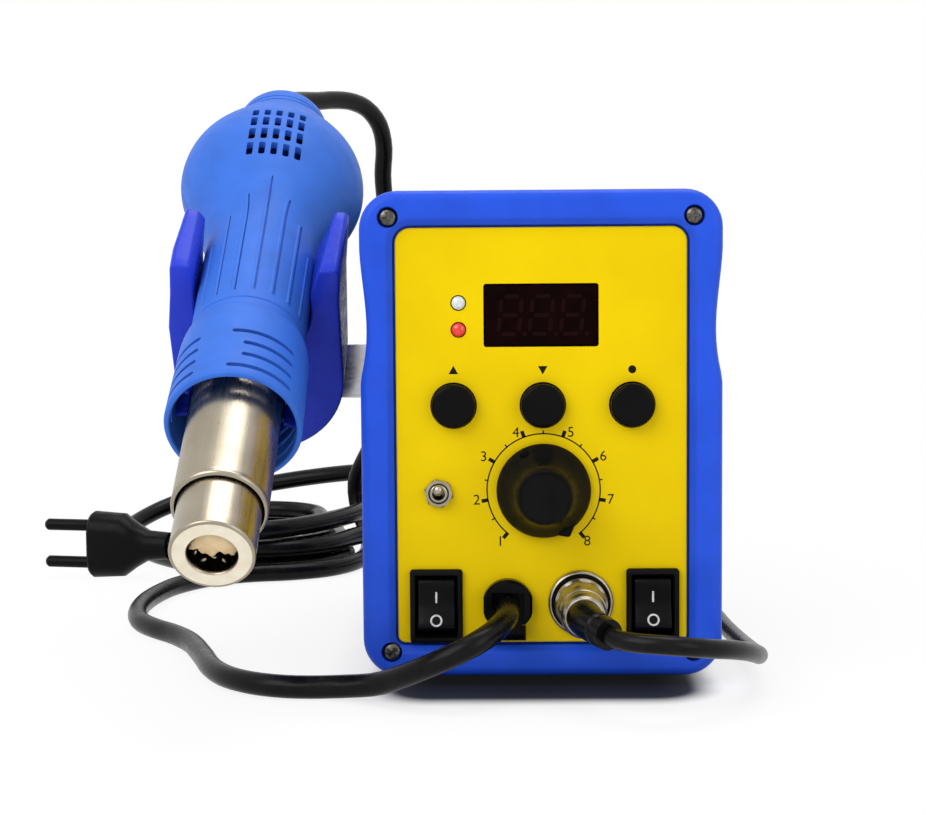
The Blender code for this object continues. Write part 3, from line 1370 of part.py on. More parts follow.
MAINS_ROUTE_IN = [
    (-0.0200, 0.0928, 0.0280), (-0.0200, 0.1060, 0.0280), (-0.0203, 0.1220, 0.0276),
    (-0.0225, 0.1450, 0.0268), (-0.0285, 0.1700, 0.0258), (-0.0395, 0.1950, 0.0246),
    (-0.0560, 0.2160, 0.0232), (-0.0760, 0.2300, 0.0210), (-0.0980, 0.2368, 0.0178),
    (-0.1180, 0.2370, 0.0146), (-0.1370, 0.2325, 0.0124), (-0.1540, 0.2235, 0.0076),
    (-0.1650, 0.2090, 0.0026), (-0.1680, 0.1930, -0.0004), (-0.1650, 0.1780, -0.0012),
    (-0.1575, 0.1640, -0.0013), (-0.1492, 0.1530, -0.0013),
]
MAINS_ROUTE_OUT = [
    (-0.0639, 0.1482, 0.0060), (-0.0606, 0.1542, 0.0060), (-0.0552, 0.1608, 0.0052),
    (-0.0465, 0.1662, 0.0030), (-0.0370, 0.1705, 0.0002), (-0.0270, 0.1750, -0.0013),
    (-0.0172, 0.1812, -0.0013), (-0.0090, 0.1900, -0.0013), (-0.0052, 0.2010, -0.0012),
    (-0.0062, 0.2125, -0.0009), (-0.0120, 0.2230, -0.0002), (-0.0220, 0.2305, 0.0010),
    (-0.0335, 0.2330, 0.0026), (-0.0445, 0.2308, 0.0048), (-0.0540, 0.2243, 0.0073),
    (-0.0600, 0.2148, 0.0096), (-0.0620, 0.2045, 0.0114), (-0.0628, 0.1900, 0.0128),
    (-0.0645, 0.1720, 0.0131), (-0.0700, 0.1530, 0.0131), (-0.0790, 0.1340, 0.0131),
    (-0.0905, 0.1180, 0.0131), (-0.1025, 0.1100, 0.0130), (-0.1125, 0.1074, 0.0124),
    (-0.1210, 0.1080, 0.0101), (-0.1286, 0.1098, 0.0079), (-0.1345, 0.1110, 0.0075),
    (-0.1398, 0.1121, 0.0075),
]
IRON_ROUTE_IN = [
    (0.0169, -0.1101, 0.0164), (0.0187, -0.1126, 0.0158), (0.0235, -0.1163, 0.0157),
    (0.0300, -0.1180, 0.0155), (0.0365, -0.1165, 0.0147), (0.0430, -0.1120, 0.0133),
    (0.0490, -0.1050, 0.0116), (0.0540, -0.0960, 0.0093), (0.0580, -0.0845, 0.0063),
    (0.0605, -0.0700, 0.0030), (0.0612, -0.0500, 0.0002), (0.0605, -0.0250, -0.0016),
    (0.0592, 0.0000, -0.0023), (0.0580, 0.0300, -0.0023), (0.0578, 0.0560, -0.0023),
    (0.0555, 0.0740, -0.0023), (0.0470, 0.0855, -0.0023), (0.0330, 0.0905, -0.0023),
    (0.0200, 0.0925, -0.0023), (0.0090, 0.0930, -0.0023),
]
IRON_ROUTE_OUT = [
    (0.0080, 0.1690, -0.0023), (0.0180, 0.1705, -0.0023), (0.0265, 0.1770, -0.0023),
    (0.0305, 0.1880, -0.0023), (0.0315, 0.2050, -0.0023), (0.0315, 0.2300, -0.0023),
    (0.0315, 0.2480, -0.0020), (0.0315, 0.2620, -0.0006), (0.0318, 0.2745, 0.0012),
    (0.0350, 0.2820, 0.0026), (0.0410, 0.2862, 0.0040), (0.0480, 0.2862, 0.0050),
    (0.0540, 0.2820, 0.0055), (0.0572, 0.2745, 0.0055), (0.0575, 0.2680, 0.0055),
    (0.0575, 0.2626, 0.0055),
]


def handle_cord_end():
    """The cord ends in the relief at the handpiece's tail."""
    slope = math.radians(HANDLE_SLOPE_DEG)
    along = TAIL_END + 0.0052
    return (TIP_X, TIP_Y + along * math.cos(slope), TIP_Z + along * math.sin(slope))


def hank_points(inset, steps=10):
    """Outline of the wound hank seen from above, a given distance inside its rim."""
    turn = Matrix.Rotation(math.radians(HANK_TURN_DEG), 2)
    radius = HANK_END_RADIUS - inset
    points = []
    for end, start in ((-1, 180), (1, 0)):
        for k in range(steps + 1):
            angle = math.radians(start + 180 * k / steps)
            local = Vector((radius * math.cos(angle), end * HANK_HALF_RUN + radius * math.sin(angle)))
            spot = turn @ local
            points.append((HANK_X + spot.x, HANK_Y + spot.y))
    return points


def make_hank():
    """The wound turns of the mains lead, as one closed body of their outer shape."""
    outer = hank_points(0.0)
    middle_out = hank_points(0.0022)
    inner = hank_points(HANK_WIDTH)
    middle_in = hank_points(HANK_WIDTH - 0.0022)
    low = FLOOR_Z
    high = FLOOR_Z + HANK_HEIGHT
    round_off = 0.0022
    rings = [(middle_out, low), (outer, low + round_off), (outer, high - round_off), (middle_out, high),
             (middle_in, high), (inner, high - round_off), (inner, low + round_off), (middle_in, low)]
    bm = bmesh.new()
    add_loft(bm, [[(x, y, z) for x, y in outline] for outline, z in rings], ring=True)
    mesh_object("mains_coil", bm, black_rubber())


def ring_profile(middle, width, low, height, round_off):
    inner = middle - width / 2
    outer = middle + width / 2
    high = low + height
    return [(inner + round_off, low), (outer - round_off, low), (outer, low + round_off),
            (outer, high - round_off), (outer - round_off, high), (inner + round_off, high),
            (inner, high - round_off), (inner, low + round_off)]


def make_iron_coil():
    profile = ring_profile(IRON_COIL_MIDDLE, IRON_COIL_WIDTH, FLOOR_Z, IRON_COIL_HEIGHT, 0.0018)
    turned("iron_coil", profile, black_rubber(), 28, hollow=True, location=(IRON_COIL_X, IRON_COIL_Y, 0))


def make_mains_plug():
    """A moulded two-pin plug on its side; local Z points out of its pins."""
    heading = math.atan2(-PLUG_HEADING[0], PLUG_HEADING[1])
    place = {"location": PLUG_PLACE, "rotation": (math.radians(-90), 0, heading)}
    hole = MAINS_CORD / 2 + GAP * 2
    sections = ((0.0000, 0.0050, 0.0050), (0.0080, 0.0056, 0.0056), (0.0130, 0.0066, 0.0085),
                (0.0175, 0.0078, 0.0118),
                (0.0290, 0.0080, 0.0125), (0.0300, 0.0074, 0.0118))
    bm = bmesh.new()
    loops = []
    for level, half_a, half_b in sections:
        radius = min(half_a, half_b) * 0.93
        outline = rounded_rectangle(half_a, half_b, radius, (0, 0), 5)
        loops.append([(x, y, level) for x, y in outline])
    add_loft(bm, loops)
    plug = mesh_object("mains_plug", bm, black_plastic(), **place)
    pins = bmesh.new()
    for side in (-1, 1):
        add_turned(pins, [(0, 0.0280), (0.0022, 0.0280), (0.0022, 0.0480), (0.0014, 0.0490),
                          (0, 0.0490)], 12,
                   centre=(0, side * 0.0070, 0))
    pin_tool = cutter("plug_pins", pins)
    pin_tool.location = plug.location
    pin_tool.rotation_euler = plug.rotation_euler
    cut(plug, pin_tool, "UNION")
    pocket = bmesh.new()
    add_prism(pocket, circle(hole, 16), -0.001, 0.0060)
    tool = cutter("plug_pocket", pocket)
    tool.location = plug.location
    tool.rotation_euler = plug.rotation_euler
    cut(plug, tool)


def make_iron():
    """The soldering iron lies behind the case, tip towards it; local Z points out of its tip."""
    place = {"location": (IRON_X, IRON_TAIL_Y, FLOOR_Z + IRON_GRIP_RADIUS), "rotation": FORWARD}
    g = IRON_GRIP_RADIUS
    hole = IRON_CORD / 2 + GAP
    start = IRON_RELIEF
    end = IRON_RELIEF + IRON_GRIP_LENGTH
    grip = [(0, 0.006), (hole, 0.006), (hole, 0), (hole + 0.0012, 0), (hole + 0.0022, start * 0.8),
            (0.0062, start),
            (0.0082, start + 0.002), (0.0088, start + 0.012), (0.0084, start + 0.040), (0.0086,
                                                                                        start + 0.058),
            (0.0092, start + 0.064), (0.0092, start + 0.082), (0.0086, start + 0.086), (g, start + 0.0885),
            (g, start + 0.0905), (0.0086, start + 0.0925), (0.0078, end), (0.0040, end), (0.0040,
                                                                                          end - 0.012),
            (0, end - 0.012)]
    turned("iron_grip", grip, blue_plastic(), 16, **place)
    b = IRON_BARREL_RADIUS
    nose = end + IRON_BARREL_LENGTH
    barrel = [(0, end - 0.0115), (0.0036, end - 0.0115), (0.0036, end + GAP), (IRON_NUT_RADIUS, end + GAP),
              (IRON_NUT_RADIUS, end + 0.0070), (b + 0.0008, end + 0.0090), (b, end + 0.0095), (b,
                                                                                               nose - 0.002),
              (b - 0.0006, nose), (0.0021, nose + 0.0005), (0.0020, nose + 0.006), (0.0004, nose + 0.0150),
              (0, nose + 0.0152)]
    turned("iron_barrel", barrel, nickel(), 12, **place)


def main():
    remove_everything()
    make_bezel("front_bezel", False)
    make_bezel("rear_bezel", True)
    make_bezel_screws()
    make_control_panel()
    make_display()
    make_leds()
    make_front_board()
    make_buttons()
    make_air_knob()
    make_toggle()
    make_rocker("left", ROCKER_X_LEFT)
    make_rocker("right", ROCKER_X_RIGHT)
    make_hot_air_gland()
    make_iron_connector()
    make_plug_boot()
    base = make_case()
    make_rear_panel()
    make_rear_fittings()
    make_feet()
    make_inside(base)
    frame = sloping_frame("handle_frame", HANDLE_ROLL_DEG)
    make_nozzle(frame)
    make_heater(frame)
    make_shroud(frame)
    make_handle_shells(frame)
    make_tail(frame)
    make_blower(frame)
    holder = sloping_frame("cradle_frame", 0)
    cradle = make_cradle(holder)
    make_bracket()
    make_cradle_mount(cradle)
    make_hank()
    make_cord("handle_cord", HANDLE_ROUTE + [handle_cord_end()], HANDLE_CORD, black_rubber())
    make_cord("mains_cord", MAINS_ROUTE_IN, MAINS_CORD, black_rubber())
    make_cord("mains_tail", MAINS_ROUTE_OUT, MAINS_CORD, black_rubber(), 1.5)
    make_cord("iron_cord", IRON_ROUTE_IN, IRON_CORD, black_rubber(), 1.5)
    make_cord("iron_lead", IRON_ROUTE_OUT, IRON_CORD, black_rubber(), 1.5)
    make_iron_coil()
    make_mains_plug()
    make_iron()


main()
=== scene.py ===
# Looks of the hot air rework station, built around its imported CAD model.
# Metres, +Z up, the front faces -Y, as in the CAD frame.

import json
import math

import bmesh
import bpy
from mathutils import Matrix, Vector


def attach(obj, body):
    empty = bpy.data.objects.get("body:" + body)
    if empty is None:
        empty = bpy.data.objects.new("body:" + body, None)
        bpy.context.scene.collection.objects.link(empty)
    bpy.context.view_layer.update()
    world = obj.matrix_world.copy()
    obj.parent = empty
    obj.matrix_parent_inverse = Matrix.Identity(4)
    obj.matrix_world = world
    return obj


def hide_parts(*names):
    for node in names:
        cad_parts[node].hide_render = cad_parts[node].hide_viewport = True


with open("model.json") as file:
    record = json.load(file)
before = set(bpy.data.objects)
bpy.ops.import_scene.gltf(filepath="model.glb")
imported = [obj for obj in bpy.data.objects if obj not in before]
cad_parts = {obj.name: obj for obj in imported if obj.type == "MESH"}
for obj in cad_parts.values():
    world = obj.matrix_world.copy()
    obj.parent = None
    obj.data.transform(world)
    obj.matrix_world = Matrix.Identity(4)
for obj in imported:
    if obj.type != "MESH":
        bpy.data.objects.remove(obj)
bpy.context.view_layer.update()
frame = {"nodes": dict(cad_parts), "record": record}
NODES = frame["nodes"]

FLOOR_Z = -0.005
TIP = Vector((-0.0836, -0.1310, 0.0413))
HANDLE_SLOPE = math.radians(32.5)
HANDLE_ROLL = math.radians(8.0)
PANEL_FRONT = -0.0724
SLOPING = Matrix.Translation(TIP) @ Matrix.Rotation(HANDLE_SLOPE - math.pi / 2, 4, "X")
HANDLE_FRAME = SLOPING @ Matrix.Rotation(HANDLE_ROLL, 4, "Z")
FORWARD = Matrix.Rotation(math.pi / 2, 4, "X")
AT_ORIGIN = Matrix.Identity(4)

# Camera

CAMERA_PLACE = (-0.012338, -0.621678, 0.117373)
CAMERA_YAW = math.radians(-0.9763)
CAMERA_PITCH = math.radians(4.5975)
CAMERA_ROLL = math.radians(-0.4360)
FOCAL_PIXELS = 1991.0
IMAGE_WIDTH = 926.0
SENSOR = 36.0


def add_object(name, data):
    obj = bpy.data.objects.new(name, data)
    bpy.context.scene.collection.objects.link(obj)
    return obj


def make_camera():
    ahead = Vector((math.sin(CAMERA_YAW) * math.cos(CAMERA_PITCH),
                    math.cos(CAMERA_YAW) * math.cos(CAMERA_PITCH), -math.sin(CAMERA_PITCH)))
    level = Vector((math.cos(CAMERA_YAW), -math.sin(CAMERA_YAW), 0))
    above = level.cross(ahead)
    right = level * math.cos(CAMERA_ROLL) + above * math.sin(CAMERA_ROLL)
    up = above * math.cos(CAMERA_ROLL) - level * math.sin(CAMERA_ROLL)
    place = Matrix((right, up, -ahead)).transposed().to_4x4()
    place.translation = CAMERA_PLACE
    data = bpy.data.cameras.new("camera")
    data.sensor_fit = "HORIZONTAL"
    data.sensor_width = SENSOR
    data.lens = FOCAL_PIXELS / IMAGE_WIDTH * SENSOR
    data.clip_start = 0.01
    camera = add_object("camera", data)
    camera.matrix_world = place
    bpy.context.scene.camera = camera


make_camera()

# Materials


class Painter:
    """Builds one node material; every number is a plain socket value."""

    def __init__(self, name, colour, roughness, metallic=0.0):
        self.material = bpy.data.materials.new(name)
        self.material.use_nodes = True
        self.tree = self.material.node_tree
        self.shader = self.tree.nodes["Principled BSDF"]
        self.shader.inputs["Base Color"].default_value = (*colour, 1)
        self.shader.inputs["Roughness"].default_value = roughness
        self.shader.inputs["Metallic"].default_value = metallic
        self.place = self.node("ShaderNodeTexCoord").outputs["Object"]
        self.normal = None

    def node(self, kind, **values):
        made = self.tree.nodes.new(kind)
        for key, value in values.items():
            setattr(made, key, value)
        return made

    def link(self, output, socket):
        self.tree.links.new(output, socket)

    def noise(self, scale, detail=3.0, stretch=None):
        place = self.place
        if stretch:
            mapping = self.node("ShaderNodeMapping")
            mapping.inputs["Scale"].default_value = stretch
            self.link(place, mapping.inputs["Vector"])
            place = mapping.outputs["Vector"]
        noise = self.node("ShaderNodeTexNoise")
        noise.inputs["Scale"].default_value = scale
        noise.inputs["Detail"].default_value = detail
        self.link(place, noise.inputs["Vector"])
        return noise.outputs["Fac"]

    def ramp(self, factor, low, high, at=(0.35, 0.65)):
        ramp = self.node("ShaderNodeValToRGB")
        ramp.color_ramp.elements[0].position = at[0]
        ramp.color_ramp.elements[1].position = at[1]
        ramp.color_ramp.elements[0].color = low
        ramp.color_ramp.elements[1].color = high
        self.link(factor, ramp.inputs["Fac"])
        return ramp.outputs["Color"]

    def vary_colour(self, low, high, scale, at=(0.35, 0.65), detail=3.0, stretch=None):
        self.link(self.ramp(self.noise(scale, detail, stretch), (*low, 1), (*high, 1), at),
                  self.shader.inputs["Base Color"])

    def vary_roughness(self, low, high, scale, detail=3.0, stretch=None):
        spread = self.node("ShaderNodeMapRange")
        spread.inputs["From Min"].default_value = 0.3
        spread.inputs["From Max"].default_value = 0.7
        spread.inputs["To Min"].default_value = low
        spread.inputs["To Max"].default_value = high
        self.link(self.noise(scale, detail, stretch), spread.inputs["Value"])
        self.link(spread.outputs["Result"], self.shader.inputs["Roughness"])

    def bump(self, factor, strength, distance):
        bump = self.node("ShaderNodeBump")
        bump.inputs["Strength"].default_value = strength
        bump.inputs["Distance"].default_value = distance
        self.link(factor, bump.inputs["Height"])
        if self.normal:
            self.link(self.normal, bump.inputs["Normal"])
        self.normal = bump.outputs["Normal"]
        self.link(self.normal, self.shader.inputs["Normal"])

    def finished(self, **values):
        """The material, once more of the shader's values are set by their names."""
        for key, value in values.items():
            self.shader.inputs[key.replace("_", " ")].default_value = value
        return self.material


def moulded_plastic(name, colour, roughness, grain=2600.0, depth=0.00006, shade=0.88, shine=0.15):
    """A plastic with a slightly uneven colour, a fine grain and a shallow wave."""
    paint = Painter(name, colour, roughness)
    dark = [c * shade for c in colour]
    paint.vary_colour(dark, colour, 90.0, (0.3, 0.6), 5.0)
    paint.vary_roughness(roughness - 0.05, roughness + 0.07, 260.0)
    paint.bump(paint.noise(grain, 2.0), 0.22, depth)
    paint.bump(paint.noise(160.0, 2.0), 0.10, 0.0002)
    return paint.finished(Specular_IOR_Level=shine)


def yellow_panel(name):
    paint = Painter(name, (0.84, 0.60, 0.002), 0.36)
    paint.vary_colour((0.76, 0.535, 0.001), (0.81, 0.58, 0.001), 40.0)
    paint.vary_roughness(0.30, 0.40, 300.0)
    paint.bump(paint.noise(1400.0, 2.0), 0.12, 0.00004)
    return paint.finished(Specular_IOR_Level=0.05)


def window_acrylic(name):
    paint = Painter(name, (0.010, 0.0012, 0.0018), 0.06)
    paint.vary_colour((0.003, 0.0003, 0.0004), (0.006, 0.0006, 0.0008), 180.0)
    paint.bump(paint.noise(60.0, 1.0), 0.05, 0.0002)
    return paint.finished(Specular_IOR_Level=0.025)


def led_upper(name):
    paint = Painter(name, (0.72, 0.72, 0.70), 0.12)
    paint.vary_colour((0.62, 0.62, 0.60), (0.80, 0.80, 0.78), 900.0)
    return paint.finished(Coat_Weight=0.8, Subsurface_Weight=0.2)


def led_lower(name):
    paint = Painter(name, (0.75, 0.01, 0.008), 0.12)
    paint.vary_colour((0.60, 0.006, 0.005), (0.85, 0.015, 0.010), 900.0)
    return paint.finished(Coat_Weight=0.8)


def black_rubber(name):
    paint = Painter(name, (0.005, 0.005, 0.005), 0.30)
    paint.vary_colour((0.0025, 0.0025, 0.0025), (0.005, 0.005, 0.005), 220.0)
    paint.vary_roughness(0.22, 0.32, 420.0)
    paint.bump(paint.noise(1900.0, 2.0), 0.18, 0.00005)
    return paint.finished(Specular_IOR_Level=0.12)


def black_paint(name):
    paint = Painter(name, (0.014, 0.014, 0.015), 0.48)
    paint.vary_colour((0.011, 0.011, 0.012), (0.018, 0.018, 0.019), 130.0)
    paint.bump(paint.noise(2600.0, 3.0), 0.35, 0.00008)
    return paint.finished(Specular_IOR_Level=0.28)


def nickel(name):
    paint = Painter(name, (0.72, 0.69, 0.63), 0.20, 1.0)
    paint.vary_colour((0.32, 0.290, 0.230), (0.44, 0.405, 0.335), 160.0)
    paint.vary_roughness(0.26, 0.38, 500.0)
    paint.bump(paint.noise(500.0, 3.0), 0.06, 0.0001)
    return paint.finished()


def warm_nickel(name):
    paint = Painter(name, (0.60, 0.555, 0.475), 0.30, 1.0)
    brushed = (1.0, 0.05, 0.03)
    paint.vary_colour((0.335, 0.292, 0.220), (0.395, 0.350, 0.275), 90.0, (0.3, 0.7), 2.0)
    paint.vary_roughness(0.24, 0.32, 900.0, 3.0, brushed)
    paint.bump(paint.noise(1500.0, 2.0, brushed), 0.03, 0.00003)
    return paint.finished()


def screw_steel(name):
    paint = Painter(name, (0.20, 0.19, 0.17), 0.24, 1.0)
    paint.vary_colour((0.055, 0.052, 0.048), (0.15, 0.14, 0.125), 700.0)
    paint.vary_roughness(0.18, 0.34, 1200.0)
    return paint.finished()


def cream_face(name):
    paint = Painter(name, (0.78, 0.74, 0.63), 0.42, 0.35)
    paint.vary_colour((0.74, 0.66, 0.50), (0.84, 0.78, 0.63), 260.0, (0.25, 0.75), 2.0)
    paint.vary_roughness(0.36, 0.48, 700.0)
    return paint.finished()


def tan_ceramic(name):
    paint = Painter(name, (0.66, 0.50, 0.30), 0.40)
    paint.vary_colour((0.60, 0.43, 0.21), (0.72, 0.55, 0.31), 240.0)
    paint.bump(paint.noise(900.0, 3.0), 0.2, 0.0001)
    return paint.finished()


def ink(name):
    paint = Painter(name, (0.010, 0.010, 0.010), 0.45)
    paint.vary_colour((0.004, 0.004, 0.003), (0.010, 0.009, 0.007), 700.0)
    return paint.finished(Specular_IOR_Level=0.10)


def white_ink(name):
    paint = Painter(name, (0.62, 0.62, 0.62), 0.5)
    paint.vary_colour((0.50, 0.50, 0.50), (0.70, 0.70, 0.70), 900.0)
    return paint.finished()


def ghost(name):
    """The unlit segments behind the window."""
    paint = Painter(name, (0.030, 0.003, 0.003), 0.12)
    paint.vary_colour((0.007, 0.0006, 0.0008), (0.010, 0.001, 0.001), 500.0)
    return paint.finished(Specular_IOR_Level=0.05)


def stainless(name):
    paint = Painter(name, (0.60, 0.60, 0.62), 0.2, 1.0)
    paint.vary_roughness(0.14, 0.24, 900.0, 4.0, (0.04, 1.0, 1.0))
    paint.bump(paint.noise(1800.0, 3.0, (0.03, 1.0, 1.0)), 0.04, 0.00003)
    return paint.finished()


def circuit_board(name):
    paint = Painter(name, (0.02, 0.14, 0.06), 0.42)
    paint.vary_colour((0.012, 0.10, 0.045), (0.03, 0.17, 0.08), 500.0)
    return paint.finished()


def pot_case(name):
    paint = Painter(name, (0.3, 0.3, 0.3), 0.4, 0.9)
    paint.vary_roughness(0.32, 0.5, 600.0)
    return paint.finished()


def core_steel(name):
    paint = Painter(name, (0.13, 0.11, 0.10), 0.5, 0.7)
    paint.vary_colour((0.08, 0.07, 0.06), (0.17, 0.15, 0.13), 2500.0, (0.3, 0.7), 2.0, (0.02, 1.0, 0.02))
    return paint.finished()


def mica(name):
    paint = Painter(name, (0.55, 0.42, 0.25), 0.5)
    paint.vary_colour((0.42, 0.30, 0.16), (0.68, 0.55, 0.38), 420.0)
    return paint.finished()


# Colour, roughness, grain, depth of the grain, shade and shine, as far as they differ from the usual ones
PLASTICS = {
    "blue_plastic": ((0.016, 0.082, 0.66), 0.38),
    "handle_plastic": ((0.038, 0.150, 0.62), 0.50, 2000.0, 0.00008),
    "cradle_plastic": ((0.020, 0.046, 0.56), 0.24, 1500.0, 0.00004),
    "navy_plastic": ((0.016, 0.060, 0.46), 0.45),
    "black_plastic": ((0.0035, 0.0035, 0.0035), 0.32, 3200.0, 0.00004, 0.7, 0.08),
    "gloss_black": ((0.0045, 0.0045, 0.0045), 0.14, 900.0, 0.00002, 0.7, 0.05),
    "knob_black": ((0.0075, 0.0075, 0.0072), 0.20, 2400.0, 0.00003, 0.7, 0.025),
}
MATERIALS = {name: moulded_plastic(name, *values) for name, values in PLASTICS.items()}
for maker in (yellow_panel, window_acrylic, led_upper, led_lower, black_rubber, black_paint, nickel,
              warm_nickel, screw_steel, cream_face, tan_ceramic, ink, white_ink, ghost, stainless,
              circuit_board, pot_case, core_steel, mica):
    MATERIALS[maker.__name__] = maker(maker.__name__)

HANDLE_NODES = {"handle_shell_top", "handle_shell_bottom", "nozzle_shroud", "tail_cap"}
GLOSS_NODES = {"button_up", "button_down", "button_set", "hot_air_gland"}
LOOK_OF_NODE = {}

for part in frame["record"]["subparts"]:
    look = part["material_slot"]
    if part["node"] in HANDLE_NODES:
        look = "handle_plastic"
    if part["node"] in GLOSS_NODES:
        look = "gloss_black"
    LOOK_OF_NODE[part["node"]] = look
    for holder in NODES[part["node"]].material_slots:
        holder.material = MATERIALS[look]

# Mesh helpers

SHARP_ANGLE = 34.0
FILLET_STEPS = 3


def shade_smooth(mesh, sharp=SHARP_ANGLE):
    """Smooth shading that stops at edges sharper than an angle."""
    mesh.shade_smooth()
    mesh.set_sharp_from_angle(angle=math.radians(sharp))


def piece(name, bm, look, body="station", nodes=(), sharp=SHARP_ANGLE, place=None):
    """Makes a smooth-shaded object that rides on a body and may stand for CAD nodes."""
    if place is not None:
        bm.transform(place)
    bmesh.ops.remove_doubles(bm, verts=bm.verts, dist=0.0000005)
    bmesh.ops.recalc_face_normals(bm, faces=bm.faces)
    mesh = bpy.data.meshes.new(name)
    bm.to_mesh(mesh)
    bm.free()
    shade_smooth(mesh, sharp)
    mesh.materials.append(MATERIALS[look])
    obj = add_object(name, mesh)
    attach(obj, body)
    if nodes:
        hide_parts(*nodes)
    return obj


def final_mesh(obj):
    """A new mesh of what an object comes out as, with its modifiers or as set text."""
    graph = bpy.context.evaluated_depsgraph_get()
    return bpy.data.meshes.new_from_object(obj.evaluated_get(graph))


def apply_modifiers(obj):
    mesh = final_mesh(obj)
    obj.modifiers.clear()
    obj.data = mesh


def bevel(obj, width, segments=2, angle=32.0):
    modifier = obj.modifiers.new("bevel", "BEVEL")
    modifier.width = width
    modifier.segments = segments
    modifier.limit_method = "ANGLE"
    modifier.angle_limit = math.radians(angle)
    apply_modifiers(obj)
    shade_smooth(obj.data)


def flatten_normals(obj):
    """Lets the large faces of a bevelled piece shade flat, so that only its edges turn."""
    modifier = obj.modifiers.new("normals", "WEIGHTED_NORMAL")
    modifier.keep_sharp = True
    apply_modifiers(obj)


def carve(obj, tool_bm, place=None):
    """Takes a tool's shape out of an object."""
    if place is not None:
        tool_bm.transform(place)
    bmesh.ops.recalc_face_normals(tool_bm, faces=tool_bm.faces)
    mesh = bpy.data.meshes.new("tool")
    tool_bm.to_mesh(mesh)
    tool_bm.free()
    tool = add_object("tool", mesh)
    modifier = obj.modifiers.new("carve", "BOOLEAN")
    modifier.operation = "DIFFERENCE"
    modifier.solver = "EXACT"
    modifier.use_self = True
    modifier.object = tool
    apply_modifiers(obj)
    shade_smooth(obj.data)
    bpy.data.objects.remove(tool, do_unlink=True)
    bpy.data.meshes.remove(mesh)


def filleted(points, radius):
    """Rounds the inner corners of a profile."""
    result = [Vector(points[0])]
    for before, here, after in zip(points, points[1:], points[2:]):
        here = Vector(here)
        back = Vector(before) - here
        ahead = Vector(after) - here
        reach = min(radius, back.length * 0.45, ahead.length * 0.45)
        start = here + back.normalized() * reach
        stop = here + ahead.normalized() * reach
        for k in range(FILLET_STEPS + 1):
            t = k / FILLET_STEPS
            result.append(start * (1 - t) ** 2 + here * (2 * t * (1 - t)) + stop * t ** 2)
    result.append(Vector(points[-1]))
    return result


def join_rows(bm, pairs):
    """Closes the band of faces between each two closed rows of vertices."""
    for near, far in pairs:
        for i in range(len(near)):
            j = (i + 1) % len(near)
            bm.faces.new((near[i], near[j], far[j], far[i]))


def add_loops(bm, loops, ring=False):
    """Joins closed loops of equal length; a ring runs back to its first loop."""
    rows = [[bm.verts.new(point) for point in loop] for loop in loops]
    join_rows(bm, zip(rows, rows[1:]))
    if ring:
        join_rows(bm, [(rows[-1], rows[0])])
    else:
        bm.faces.new(rows[0][::-1])
        bm.faces.new(rows[-1])


def add_turned(bm, profile, steps=96, hollow=False, shape=None, place=AT_ORIGIN):
    """Turns (radius, height) points about Z; shape may change a radius by its angle and height."""
    def spot(radius, height, turn):
        reach = shape(radius, height, turn) if shape else radius
        return bm.verts.new(place @ Vector((reach * math.cos(turn), reach * math.sin(turn), height)))

    rows = []
    for radius, height in profile:
        count = steps if radius > 1e-7 else 1
        rows.append([spot(radius, height, 2 * math.pi * k / steps) for k in range(count)])
    pairs = list(zip(rows, rows[1:]))
    if hollow:
        pairs.append((rows[-1], rows[0]))
    for near, far in pairs:
        for i in range(steps):
            j = (i + 1) % steps
            corners = [near[i % len(near)], near[j % len(near)], far[j % len(far)], far[i % len(far)]]
            face = list(dict.fromkeys(corners))
            if len(face) > 2:
                bm.faces.new(face)


def turned(name, profile, look, place, body="station", nodes=(), steps=96, hollow=False, fillet=0.0,
           shape=None, sharp=SHARP_ANGLE):
    bm = bmesh.new()
    add_turned(bm, filleted(profile, fillet) if fillet else profile, steps, hollow, shape)
    return piece(name, bm, look, body, nodes, sharp, place)


def add_prism(bm, outline, low, high):
    """Extrudes an (x, y) outline along local Z."""
    add_loops(bm, [[(x, y, low) for x, y in outline], [(x, y, high) for x, y in outline]])


def add_box(bm, low, high):
    add_prism(bm, [(low[0], low[1]), (high[0], low[1]), (high[0], high[1]), (low[0], high[1])],
              low[2], high[2])


def arc(radius, start_deg, sweep_deg, steps, centre=(0.0, 0.0)):
    return [(centre[0] + radius * math.cos(math.radians(start_deg + sweep_deg * k / steps)),
             centre[1] + radius * math.sin(math.radians(start_deg + sweep_deg * k / steps)))
            for k in range(steps + 1)]


def circle(radius, steps, centre=(0.0, 0.0)):
    return arc(radius, 0, 360, steps, centre)[:-1]


def dome(radius, high, rise, steps=8):
    """Profile points of a rounded top that ends on the axis."""
    return [(radius * math.cos(a), high - rise + rise * math.sin(a))
            for a in [math.pi / 2 * k / steps for k in range(steps)]] + [(0, high)]


def polished(node, edge=0.0, look=None):
    """A smooth-shaded copy of a CAD node, with its edges broken by a small bevel."""
    source = NODES[node]
    bm = bmesh.new()
    bm.from_mesh(source.data)
    bmesh.ops.remove_doubles(bm, verts=bm.verts, dist=0.000001)
    bmesh.ops.dissolve_limit(bm, angle_limit=math.radians(1.0), verts=bm.verts, edges=bm.edges)
    home = next(name for name, nodes in BODIES.items() if node in nodes)
    copy = piece(node + "_finish", bm, look or LOOK_OF_NODE[node], home, (node,))
    if edge:
        bevel(copy, edge)
        flatten_normals(copy)
    return copy


BODIES = frame["record"]["behaviour"]["bodies"]

# Station front

